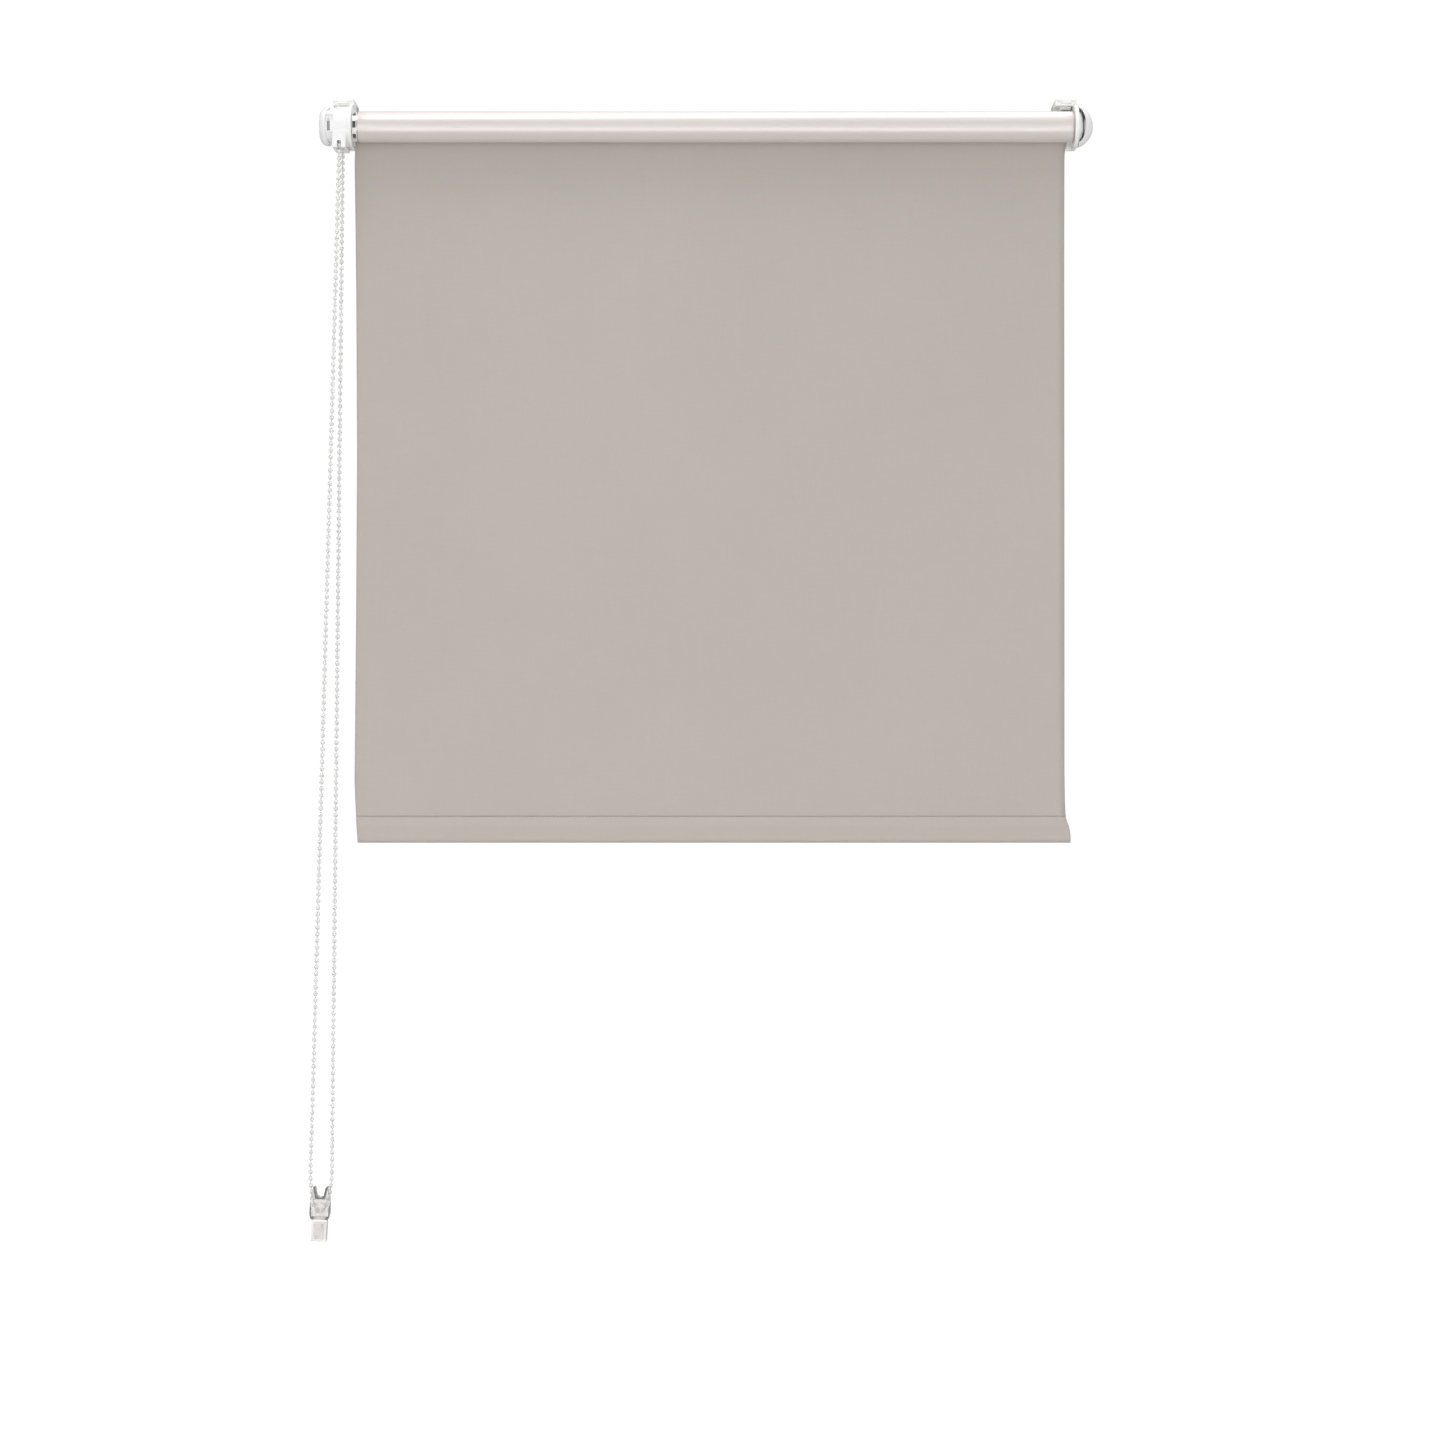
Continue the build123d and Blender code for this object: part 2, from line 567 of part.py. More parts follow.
def drive_plug():
    """Plug in the left end of the tube that the sprocket's hexagon turns."""
    body = castellated_collar()
    body += on_axis(TUBE_INNER_RADIUS - FIT, (TUBE_ENDS[0], DRIVE_PLUG_END_X))
    body -= on_axis(NECK_RADIUS + FIT, (COLLAR[0], NECK_END_X + 0.1))
    body -= hexagon_on_axis(HEX_ACROSS_FLATS + 2 * FIT, NECK_END_X, HEX_LENGTH + 0.2)
    body -= on_axis(BRAKE_ROOM_RADIUS, BRAKE_ROOM)
    body -= on_axis(SPINDLE_RADIUS + FIT, (BRAKE_ROOM[1] - 1.0, DRIVE_PLUG_END_X))
    return body - tube_keys(FIT)


# ---- Roller ----------------------------------------------------------------------------

def tube_keys(clearance):
    """Two ribs inside the tube that drive its end plugs, grown by a clearance."""
    keys = Part()
    for side in (-1, 1):
        near = AXIS_Z + side * (TUBE_INNER_RADIUS - KEY_HEIGHT - clearance)
        far = AXIS_Z + side * (TUBE_INNER_RADIUS + SOFT_GAP)
        keys += block(TUBE_ENDS, centred(AXIS_Y, KEY_WIDTH / 2 + clearance), (near, far))
    return keys


def roller_tube():
    """Aluminium tube with two inner ribs."""
    ribs = tube_keys(0) & on_axis(TUBE_RADIUS - FIT, TUBE_ENDS)
    return ring(TUBE_RADIUS, TUBE_INNER_RADIUS, TUBE_ENDS) + ribs


def over_tape(x, margin):
    """The space above the top of the tube where the tape lies."""
    return block(x, centred(AXIS_Y, TAPE_WIDTH / 2 + margin), (AXIS_Z, AXIS_Z + WOUND_RADIUS))


def adhesive_strip():
    """Double-sided tape along the tube that holds the start of the fabric."""
    x = (ROLL_LEFT + 2.0, FABRIC_RIGHT - 2.0)
    tape_radius = TUBE_RADIUS + 0.03
    return ring(tape_radius + TAPE_THICKNESS, tape_radius, x) & over_tape(x, 0)


def fabric_roll():
    """The wound fabric as one sleeve, relieved over the tape; its turns lie to the right."""
    x = (ROLL_LEFT, FABRIC_RIGHT)
    relief = ring(TUBE_RADIUS + SOFT_GAP, TUBE_RADIUS, x) & over_tape(x, SOFT_GAP)
    return ring(WOUND_RADIUS, TUBE_RADIUS + FIT, x) - relief


def idle_plug():
    """Plug in the right end of the tube that holds the spring pin."""
    flange_x = (TUBE_ENDS[1], TUBE_ENDS[1] + IDLE_FLANGE)
    body = on_axis(TUBE_INNER_RADIUS - FIT, (IDLE_PLUG_START_X, TUBE_ENDS[1]))
    body += on_axis(TUBE_RADIUS - 0.1, flange_x)
    body -= on_axis(PIN_ROOM_RADIUS, PIN_ROOM)
    body -= on_axis(PIN_RADIUS + FIT, (PIN_ROOM[1], flange_x[1]))
    return body - tube_keys(FIT)


def idle_pin():
    """Spring-loaded steel pin that the free end of the roller turns on."""
    tail, collar, shank, tip = PIN_STATIONS
    pin = on_axis(PIN_TAIL_RADIUS, (tail, collar)) + on_axis(PIN_COLLAR_RADIUS, (collar, shank))
    pin += on_axis(PIN_RADIUS, (shank, tip))
    return chamfer(pin.edges().filter_by(GeomType.CIRCLE).sort_by(Axis.X)[-1], PIN_CHAMFER)


def pin_spring():
    """Spring behind the pin's collar, as a sleeve of touching turns."""
    return coil_sleeve(PIN_TAIL_RADIUS + SOFT_GAP + PIN_WIRE_RADIUS, PIN_WIRE_RADIUS, PIN_SPRING)


def ball_on_axis(span, radius, wall):
    """Ball whose cap has its flat base and its crown at two stations, shrunk by a wall."""
    reach = span[1] - span[0]
    ball_radius = (radius**2 + reach**2) / (2 * reach)
    return Location((span[1] - ball_radius, AXIS_Y, AXIS_Z), (0, 90, 0)) * Sphere(ball_radius - wall)


def right_of(solid, x):
    """What is left of a solid to the right of a station."""
    reach = 3 * CHEEK_RADIUS
    return solid - block((x - reach, x), centred(AXIS_Y, reach), centred(AXIS_Z, reach))


def idle_bearing():
    """Domed bearing body outside the right cheek, with the pin's bore and a post for the cap."""
    body = right_of(ball_on_axis(BEARING, BEARING_RADIUS, 0), BEARING[0])
    body += on_axis(BEARING_SPIGOT_RADIUS, (RIGHT_CHEEK[0] + 0.2, RIGHT_CHEEK[1]))
    body += on_axis(CAP_POST_RADIUS, (BEARING[1] - 1.5, BEARING[1] + CAP_POST_LENGTH))
    return body - on_axis(PIN_RADIUS + FIT, (RIGHT_CHEEK[0], BEARING[1] - 0.6))


def idle_cap():
    """Domed cover over the bearing, open at the front, on a central socket."""
    shell = ball_on_axis(RIGHT_CAP, RIGHT_CAP_RADIUS, 0) - ball_on_axis(RIGHT_CAP, RIGHT_CAP_RADIUS, CAP_WALL)
    cap = right_of(shell, RIGHT_CAP[0]) - front_opening(RIGHT_CAP[0], RIGHT_CAP_OPENING)
    socket_x = (BEARING[1] + 0.1, RIGHT_CAP[1] - CAP_WALL)
    return cap + ring(CAP_SOCKET_RADIUS, CAP_POST_RADIUS + FIT, socket_x)


# ---- Fabric and hem --------------------------------------------------------------------

def fabric_middle_y():
    """Middle of the hanging sheet, which leaves the back of the roll."""
    return AXIS_Y + WOUND_RADIUS + SOFT_GAP + FABRIC_THICKNESS / 2


def fabric_drop():
    """The hanging sheet, from the roller axis's level to the hem seam."""
    y = centred(fabric_middle_y(), FABRIC_THICKNESS / 2)
    return block((FABRIC_LEFT, FABRIC_RIGHT), y, (SEAM_Z, AXIS_Z - 1.0))


def hem_profile(inset):
    """Face across the hem pocket, drawn in Y and Z and shrunk by an inset."""
    y = fabric_middle_y()
    half = HEM_THICKNESS / 2 - inset
    neck = max(FABRIC_THICKNESS - inset, 0.1)
    top = SEAM_Z - inset * 3.0
    shoulder = SEAM_Z - HEM_SHOULDER
    round_z = SEAM_Z - HEM_HEIGHT + HEM_THICKNESS / 2
    edges = [
        Line((y - neck, top), (y + neck, top)),
        Line((y + neck, top), (y + half, shoulder)),
        Line((y + half, shoulder), (y + half, round_z)),
        ThreePointArc((y + half, round_z), (y, round_z - half), (y - half, round_z)),
        Line((y - half, round_z), (y - half, shoulder)),
        Line((y - half, shoulder), (y - neck, top)),
    ]
    return Plane.YZ * make_face(Wire(edges))


def hem_pocket():
    """Fabric folded and sewn round the hem bar."""
    outside = extrude(hem_profile(0), FABRIC_WIDTH, dir=(1, 0, 0))
    inside = extrude(hem_profile(FABRIC_THICKNESS), FABRIC_WIDTH, dir=(1, 0, 0))
    return Location((FABRIC_LEFT, 0, 0)) * (outside - inside)


def bar_profile(inset):
    """Flat oval section of the hem bar, shrunk by an inset."""
    play = 0.2
    thickness = HEM_THICKNESS - 2 * (FABRIC_THICKNESS + play + inset)
    middle_z = SEAM_Z - HEM_HEIGHT + FABRIC_THICKNESS + play + BAR_HEIGHT / 2
    section = SlotOverall(BAR_HEIGHT - 2 * inset, thickness, rotation=90)
    return Plane.YZ * Location((fabric_middle_y(), middle_z)) * section


def hem_bar():
    """Hollow flat-oval aluminium bar, short of the fabric's edges so that it stays hidden."""
    length = FABRIC_WIDTH - 2 * BAR_INSET
    outside = extrude(bar_profile(0), length, dir=(1, 0, 0))
    inside = extrude(bar_profile(BAR_WALL), length, dir=(1, 0, 0))
    return Location((FABRIC_LEFT + BAR_INSET, 0, 0)) * (outside - inside)


def hem_cap(side):
    """Plastic plug in one end of the hem bar: -1 for the left end, 1 for the right."""
    bar_end = FABRIC_LEFT + BAR_INSET if side < 0 else FABRIC_RIGHT - BAR_INSET
    flange = extrude(bar_profile(0), BAR_CAP_FLANGE, dir=(side, 0, 0))
    tongue = extrude(bar_profile(BAR_WALL + FIT), BAR_CAP_TONGUE, dir=(-side, 0, 0))
    return Location((bar_end, 0, 0)) * (flange + tongue)


# ---- Bead chain and its weight ---------------------------------------------------------

def corner_radii(route):
    """Arc radius at each inner point: 0.45 of the shorter run over tan(half the turn)."""
    radii = []
    for before, corner, after in zip(route, route[1:], route[2:]):
        run_in = Vector(*corner) - Vector(*before)
        run_out = Vector(*after) - Vector(*corner)
        half_turn = math.radians(run_in.get_angle(run_out)) / 2
        radii.append(0.45 * min(run_in.length, run_out.length) / math.tan(half_turn))
    return radii


def chain_loop():
    """The free loop of chain below the housing, as a tube of the beads' diameter."""
    radii = corner_radii(CHAIN_ROUTE)
    print("chain corner radii:", [round(r, 1) for r in radii])
    path = FilletPolyline(*CHAIN_ROUTE, radius=radii)
    start = Plane(origin=path @ 0, z_dir=path % 0)
    tube = sweep(start * Circle(BEAD_RADIUS), path=path)
    section = math.pi * BEAD_RADIUS**2
    print("chain loop length:", round(path.length, 1), "volume ratio:", round(tube.volume / section / path.length, 4))
    return tube


def chain_on_sprocket():
    """The chain over the sprocket and down to the mouths of the housing."""
    arc = CenterArc((0, 0), SPROCKET_PITCH_RADIUS, 0, 180)
    arch = sweep(Plane.XZ * Location((SPROCKET_PITCH_RADIUS, 0)) * Circle(BEAD_RADIUS), path=arc)
    arch = Location((CHAIN_X, AXIS_Y, AXIS_Z), (0, 0, 90)) * Location((0, 0, 0), (90, 0, 0)) * arch
    for side in (-1, 1):
        arch += rod_z(BEAD_RADIUS, CHAIN_X, AXIS_Y + side * SPROCKET_PITCH_RADIUS, (CHAIN_EXIT_Z, AXIS_Z))
    return arch


def weight_place():
    """Where the weight's own frame hangs."""
    return Location(WEIGHT_TOP, (0, WEIGHT_TILT, 0))


def weight_outline():
    """Front outline of the weight's shells, in X and Z: two horns, a notch and straight sides."""
    side = WEIGHT_HALF_WIDTH
    bottom = WEIGHT_SHELL_BOTTOM
    right = [
        Line((3.4, -7.2), (4.5, -1.4)),
        ThreePointArc((4.5, -1.4), (5.9, 0), (7.2, -1.2)),
        Line((7.2, -1.2), (7.6, -6.8)),
        Line((7.6, -6.8), (side, -9.4)),
        Line((side, -9.4), (side, bottom + 4.0)),
        Line((side, bottom + 4.0), (side - 1.3, bottom)),
    ]
    left = [edge.mirror(Plane.YZ) for edge in right]
    notch = ThreePointArc((-3.4, -7.2), (0, -9.6), (3.4, -7.2))
    foot = Line((-side + 1.3, bottom), (side - 1.3, bottom))
    return Plane.XZ * make_face(Wire(right + left + [notch, foot]))


def weight_cavity():
    """Room inside the shells for the chain's turn, open above at the outer shoulders."""
    side = WEIGHT_HALF_WIDTH - WEIGHT_WALL
    depth = BEAD_RADIUS + 0.45
    width, height = WEIGHT_MOUTH_SIZE
    room = block((-side, side), (-depth, depth), WEIGHT_ROOM_Z)
    for hand in (-1, 1):
        place = Location((hand * WEIGHT_MOUTH_X, 0, WEIGHT_MOUTH_Z), (0, hand * WEIGHT_MOUTH_LEAN, 0))
        room += place * Box(width, 2 * depth, height)
    return room


def weight_half(side):
    """One clear half of the weight: -1 for the front, 1 for the back."""
    solid = extrude(weight_outline(), WEIGHT_SHELL_DEPTH, dir=(0, side, 0))
    solid -= weight_cavity()
    tenon_x, tenon_y = WEIGHT_TENON_HALF
    socket_z = (WEIGHT_SHELL_BOTTOM, WEIGHT_TENON_TOP + 2.3)
    solid -= block(centred(0, tenon_x + FIT), centred(0, tenon_y + FIT), socket_z)
    snap_y = side * (WEIGHT_SHELL_DEPTH - WEIGHT_SNAP[1] / 2)
    return solid - Location((0, snap_y, WEIGHT_SNAP_Z)) * Box(*WEIGHT_SNAP)


def weight_front_shell():
    """Front half of the clear weight."""
    return weight_place() * weight_half(-1)


def weight_back_shell():
    """Back half of the clear weight, with the post the chain turns on."""
    post_y = (-BEAD_RADIUS - 0.35, BEAD_RADIUS + 0.85)
    return weight_place() * (weight_half(1) + rod_y(WEIGHT_POST_RADIUS, 0, WEIGHT_POST_CENTRE, post_y))


def weight_base():
    """Clear fluted block below the shells that holds the steel slug."""
    depth = WEIGHT_BASE_DEPTH / 2
    top = WEIGHT_SHELL_BOTTOM - FIT
    body = block(centred(0, WEIGHT_BASE_WIDTH / 2), centred(0, depth), (WEIGHT_BASE_BOTTOM, top))
    body = fillet(body.edges().filter_by(Axis.Z), 1.2)
    tenon_x, tenon_y = WEIGHT_TENON_HALF
    body += block(centred(0, tenon_x), centred(0, tenon_y), (top, WEIGHT_TENON_TOP))
    for flute in range(-2, 3):
        x = centred(flute * FLUTE_PITCH, FLUTE_WIDTH / 2)
        body -= block(x, (-depth, FLUTE_DEPTH - depth), FLUTE_Z)
        body -= block(x, (depth - FLUTE_DEPTH, depth), FLUTE_Z)
    return weight_place() * (body - slug_block(0.1))


def slug_block(margin):
    """The slug's shape in the weight's own frame, grown by a margin."""
    half_x, half_y = SLUG_HALF
    z = (SLUG_Z[0] - margin, SLUG_Z[1] + margin)
    return block(centred(0, half_x + margin), centred(0, half_y + margin), z)


def weight_slug():
    """Steel slug that keeps the chain taut."""
    return weight_place() * slug_block(0)


# ---- Every piece in its own file -------------------------------------------------------

PIECES = {
    "bracket_left": bracket_left,
    "bracket_right": bracket_right,
    "bracket_pads": bracket_pads,
    "clamp_screws": clamp_screws,
    "clamp_nuts": clamp_nuts,
    "clamp_hook_left": lambda: clamp_hook(-HOOK_X),
    "clamp_hook_right": lambda: clamp_hook(HOOK_X),
    "lip_pad_left": lambda: lip_pad(-HOOK_X),
    "lip_pad_right": lambda: lip_pad(HOOK_X),
    "chain_housing": chain_housing,
    "housing_cap": housing_cap,
    "clutch_spindle": clutch_spindle,
    "chain_sprocket": chain_sprocket,
    "brake_spring": brake_spring,
    "drive_plug": drive_plug,
    "roller_tube": roller_tube,
    "adhesive_strip": adhesive_strip,
    "fabric_roll": fabric_roll,
    "idle_plug": idle_plug,
    "idle_pin": idle_pin,
    "pin_spring": pin_spring,
    "idle_bearing": idle_bearing,
    "idle_cap": idle_cap,
    "fabric_drop": fabric_drop,
    "hem_pocket": hem_pocket,
    "hem_bar": hem_bar,
    "hem_cap_left": lambda: hem_cap(-1),
    "hem_cap_right": lambda: hem_cap(1),
    "chain_loop": chain_loop,
    "chain_on_sprocket": chain_on_sprocket,
    "weight_front_shell": weight_front_shell,
    "weight_back_shell": weight_back_shell,
    "weight_base": weight_base,
    "weight_slug": weight_slug,
}

os.makedirs("parts", exist_ok=True)
for piece_name, make_piece in PIECES.items():
    export_step(make_piece(), f"parts/{piece_name}.step")
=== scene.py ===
import math

import bpy
import numpy as np
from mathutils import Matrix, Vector


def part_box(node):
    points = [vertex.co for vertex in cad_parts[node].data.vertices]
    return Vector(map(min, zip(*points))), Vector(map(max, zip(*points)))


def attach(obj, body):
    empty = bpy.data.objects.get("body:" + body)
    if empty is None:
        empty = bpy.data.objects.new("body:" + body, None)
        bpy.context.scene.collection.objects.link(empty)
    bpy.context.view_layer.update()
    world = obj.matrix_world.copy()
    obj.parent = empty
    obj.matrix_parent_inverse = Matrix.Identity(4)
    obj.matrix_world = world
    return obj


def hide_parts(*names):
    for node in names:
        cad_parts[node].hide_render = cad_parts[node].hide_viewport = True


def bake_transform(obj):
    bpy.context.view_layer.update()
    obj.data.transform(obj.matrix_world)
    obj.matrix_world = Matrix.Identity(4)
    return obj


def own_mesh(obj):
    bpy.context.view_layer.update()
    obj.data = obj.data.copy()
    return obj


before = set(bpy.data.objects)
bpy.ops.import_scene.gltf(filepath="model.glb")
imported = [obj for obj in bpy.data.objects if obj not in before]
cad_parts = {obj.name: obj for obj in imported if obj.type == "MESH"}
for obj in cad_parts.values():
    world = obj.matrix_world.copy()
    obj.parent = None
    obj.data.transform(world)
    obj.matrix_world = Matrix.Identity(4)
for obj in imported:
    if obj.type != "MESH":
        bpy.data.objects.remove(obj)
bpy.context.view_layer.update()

# A clamp-on roller blind. +X runs to the right along the roller, -Y faces the room and +Z
# is up; the origin is on the sash's top front edge, midway between the clamp hooks.

MM = 0.001

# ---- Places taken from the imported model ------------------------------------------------

roll_low, roll_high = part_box("fabric_roll")
hem_low, hem_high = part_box("hem_pocket")
drop_low, drop_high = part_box("fabric_drop")

FABRIC_LEFT = drop_low[0]
FABRIC_WIDTH = drop_high[0] - drop_low[0]
ROLL_LEFT = roll_low[0]
ROLL_RIGHT = roll_high[0]
WOUND_RADIUS = (roll_high[1] - roll_low[1]) / 2
AXIS_Y = (roll_high[1] + roll_low[1]) / 2
AXIS_Z = (roll_high[2] + roll_low[2]) / 2
SHEET_Y = (drop_low[1] + drop_high[1]) / 2
SEAM_Z = hem_high[2]
HEM_BOTTOM = hem_low[2]
HEM_THICKNESS = hem_high[1] - hem_low[1]
CLOTH = 0.36 * MM


# ---- Camera ----------------------------------------------------------------------------

CAMERA_DISTANCE = 2.8
FRAME_WIDTH = 1.311
VIEW_CENTRE_X = 0.0161
VIEW_CENTRE_Z = -0.5643
SENSOR = 36.0

camera_data = bpy.data.cameras.new("camera")
camera_data.sensor_width = SENSOR
camera_data.lens = SENSOR * CAMERA_DISTANCE / FRAME_WIDTH
camera = bpy.data.objects.new("camera", camera_data)
camera.location = (VIEW_CENTRE_X, AXIS_Y - CAMERA_DISTANCE, VIEW_CENTRE_Z)
camera.rotation_euler = (math.radians(90), 0, 0)
bpy.context.collection.objects.link(camera)
bpy.context.scene.camera = camera


# ---- Mesh helpers ----------------------------------------------------------------------

def new_object(name, vertices, faces, materials, face_materials=None, smooth=True):
    """A mesh object from plain lists, linked and shaded."""
    mesh = bpy.data.meshes.new(name)
    mesh.from_pydata([tuple(v) for v in vertices], [], faces)
    for material in materials:
        mesh.materials.append(material)
    if face_materials is not None:
        mesh.polygons.foreach_set("material_index", face_materials)
    mesh.polygons.foreach_set("use_smooth", [smooth] * len(mesh.polygons))
    mesh.update()
    obj = bpy.data.objects.new(name, mesh)
    bpy.context.collection.objects.link(obj)
    return obj


def cloth_solid(name, grid, thickness, front, back):
    """A thin closed cloth from a grid of middle points; front faces look towards -Y."""
    rows, columns, _ = grid.shape
    across = np.gradient(grid, axis=1)
    down = np.gradient(grid, axis=0)
    normal = np.cross(across, down)
    normal /= np.linalg.norm(normal, axis=2, keepdims=True)
    if normal[rows // 2, columns // 2, 1] > 0:
        normal = -normal
    sides = [grid + normal * thickness / 2, grid - normal * thickness / 2]
    vertices = np.concatenate([side.reshape(-1, 3) for side in sides])
    layer = rows * columns
    faces, face_materials = [], []
    for r in range(rows - 1):
        for c in range(columns - 1):
            a = r * columns + c
            b, d, e = a + 1, a + columns, a + columns + 1
            faces.append((a, d, e, b))
            face_materials.append(0)
            faces.append((layer + a, layer + b, layer + e, layer + d))
            face_materials.append(1)
    rim = [(0, c) for c in range(columns)]
    rim += [(r, columns - 1) for r in range(1, rows)]
    rim += [(rows - 1, c) for c in range(columns - 2, -1, -1)]
    rim += [(r, 0) for r in range(rows - 2, 0, -1)]
    ring = [r * columns + c for r, c in rim]
    for a, b in zip(ring, ring[1:] + ring[:1]):
        faces.append((a, b, layer + b, layer + a))
        face_materials.append(1)
    return new_object(name, vertices, faces, [front, back], face_materials)


def tube_rings(points, radius, sides):
    """Vertices and faces of a round tube along close points, with closed ends."""
    points = [Vector(p) for p in points]
    vertices, faces = [], []
    side_axis = None
    for i, point in enumerate(points):
        ahead = points[min(i + 1, len(points) - 1)] - points[max(i - 1, 0)]
        ahead.normalize()
        if side_axis is None:
            side_axis = ahead.orthogonal().normalized()
        side_axis = (side_axis - ahead * side_axis.dot(ahead)).normalized()
        other = ahead.cross(side_axis)
        for k in range(sides):
            angle = 2 * math.pi * k / sides
            vertices.append(point + radius * (math.cos(angle) * side_axis + math.sin(angle) * other))
    for i in range(len(points) - 1):
        for k in range(sides):
            a, b = i * sides + k, i * sides + (k + 1) % sides
            faces.append((a, b, b + sides, a + sides))
    last = (len(points) - 1) * sides
    faces.append(tuple(range(sides - 1, -1, -1)))
    faces.append(tuple(range(last, last + sides)))
    return vertices, faces


def ball(centre, axis, radius, stretch, sides=14, rings=8):
    """Vertices and faces of a bead, slightly longer along its string."""
    axis = Vector(axis).normalized()
    side_axis = axis.orthogonal().normalized()
    other = axis.cross(side_axis)
    vertices = [Vector(centre) - axis * radius * stretch]
    for j in range(1, rings):
        polar = math.pi * j / rings
        height = -math.cos(polar) * radius * stretch
        width = math.sin(polar) * radius
        for k in range(sides):
            angle = 2 * math.pi * k / sides
            spoke = math.cos(angle) * side_axis + math.sin(angle) * other
            vertices.append(Vector(centre) + axis * height + spoke * width)
    vertices.append(Vector(centre) + axis * radius * stretch)
    top = len(vertices) - 1
    faces = [(0, 1 + (k + 1) % sides, 1 + k) for k in range(sides)]
    for j in range(rings - 2):
        for k in range(sides):
            a, b = 1 + j * sides + k, 1 + j * sides + (k + 1) % sides
            faces.append((a, b, b + sides, a + sides))
    start = 1 + (rings - 2) * sides
    faces += [(start + k, start + (k + 1) % sides, top) for k in range(sides)]
    return vertices, faces


def joined(pieces):
    """Several (vertices, faces) pairs as one."""
    vertices, faces = [], []
    for piece_vertices, piece_faces in pieces:
        first = len(vertices)
        vertices += list(piece_vertices)
        faces += [tuple(first + i for i in face) for face in piece_faces]
    return vertices, faces


def smoothstep(low, high, value):
    """0 below low, 1 above high, and smooth between."""
    t = np.clip((value - low) / (high - low), 0, 1)
    return t * t * (3 - 2 * t)


# ---- Materials -------------------------------------------------------------------------

class Shader:
    """A node material with short calls for what the pieces need."""

    def __init__(self, name, colour, roughness, **sockets):
        self.material = bpy.data.materials.new(name)
        self.material.use_nodes = True
        self.tree = self.material.node_tree
        self.bsdf = self.tree.nodes["Principled BSDF"]
        self.bsdf.inputs["Base Color"].default_value = (*colour, 1)
        self.bsdf.inputs["Roughness"].default_value = roughness
        for socket, value in sockets.items():
            self.bsdf.inputs[socket.replace("_", " ")].default_value = value
        self.where = self.node("ShaderNodeTexCoord").outputs["Object"]

    def node(self, kind, inputs=None, **settings):
        node = self.tree.nodes.new(kind)
        for key, value in settings.items():
            setattr(node, key, value)
        for key, value in (inputs or {}).items():
            if isinstance(value, bpy.types.NodeSocket):
                self.tree.links.new(value, node.inputs[key])
            else:
                node.inputs[key].default_value = value
        return node

    def mapped(self, scale):
        return self.node("ShaderNodeMapping", {"Vector": self.where, "Scale": scale}).outputs[0]

    def noise(self, scale, detail=3.0, stretch=(1, 1, 1)):
        """Soft noise with a feature size of about 1/scale metres."""
        size = tuple(scale * s for s in stretch)
        inputs = {"Vector": self.mapped(size), "Scale": 1.0, "Detail": detail}
        return self.node("ShaderNodeTexNoise", inputs).outputs["Fac"]

    def math(self, operation, a, b=0.0, c=0.0):
        return self.node("ShaderNodeMath", {0: a, 1: b, 2: c}, operation=operation).outputs[0]

    def vary(self, colour_a, colour_b, factor):
        """Base colour between two colours by a factor."""
        mix = self.node("ShaderNodeMix", {"Factor": factor}, data_type="RGBA")
        mix.inputs["A"].default_value = (*colour_a, 1)
        mix.inputs["B"].default_value = (*colour_b, 1)
        self.tree.links.new(mix.outputs["Result"], self.bsdf.inputs["Base Color"])
        return self

    def rough(self, low, high, factor):
        span = self.node("ShaderNodeMapRange", {"Value": factor, "To Min": low, "To Max": high})
        self.tree.links.new(span.outputs[0], self.bsdf.inputs["Roughness"])
        return self

    def bump(self, height, distance, strength=1.0):
        inputs = {"Height": height, "Distance": distance, "Strength": strength}
        bump = self.node("ShaderNodeBump", inputs)
        self.tree.links.new(bump.outputs[0], self.bsdf.inputs["Normal"])
        return self


def linear(red, green, blue):
    """An sRGB colour of 0 to 255 as linear values."""
    parts = [v / 255 for v in (red, green, blue)]
    return tuple(p / 12.92 if p <= 0.04045 else ((p + 0.055) / 1.055) ** 2.4 for p in parts)


def weave_height(shader, pitch):
    """Height of a plain weave in the X-Z plane: warp and weft that go over and under."""
    turn = math.pi / pitch
    split = shader.node("ShaderNodeSeparateXYZ", {0: shader.where})
    warp = shader.math("SINE", shader.math("MULTIPLY", split.outputs["X"], turn))
    weft = shader.math("SINE", shader.math("MULTIPLY", split.outputs["Z"], turn))
    return shader.math("MULTIPLY", warp, weft)


def taupe_cloth(name="taupe_weave"):
    shader = Shader(name, linear(190, 181, 174), 0.86, Sheen_Weight=0.25, Sheen_Roughness=0.45)
    slubs = shader.noise(900, 2.0, (0.05, 1, 1))
    warp_slubs = shader.noise(900, 2.0, (1, 1, 0.05))
    threads = shader.math("ADD", slubs, warp_slubs)
    clouds = shader.noise(5, 2.0)
    mixed = shader.math("MULTIPLY_ADD", clouds, 0.45, shader.math("MULTIPLY", threads, 0.30))
    shader.vary(linear(184, 175, 168), linear(195, 187, 180), mixed)
    weave = shader.math("MULTIPLY_ADD", threads, 0.5, weave_height(shader, 0.45 * MM))
    return shader.bump(weave, 0.06 * MM, 0.5).material


def pearl_cloth(name="pearl_coating"):
    sockets = {"Metallic": 0.25, "Specular_IOR_Level": 0.6, "Coat_Weight": 0.15, "Coat_Roughness": 0.3}
    shader = Shader(name, linear(226, 218, 215), 0.36, **sockets)
    clouds = shader.noise(14, 3.0, (0.3, 1, 1))
    shader.vary(linear(222, 213, 210), linear(232, 226, 223), clouds)
    grain = shader.noise(2200, 2.0)
    shader.rough(0.30, 0.42, clouds)
    weave = shader.math("MULTIPLY_ADD", grain, 0.8, weave_height(shader, 0.45 * MM))
    return shader.bump(weave, 0.015 * MM, 0.5).material


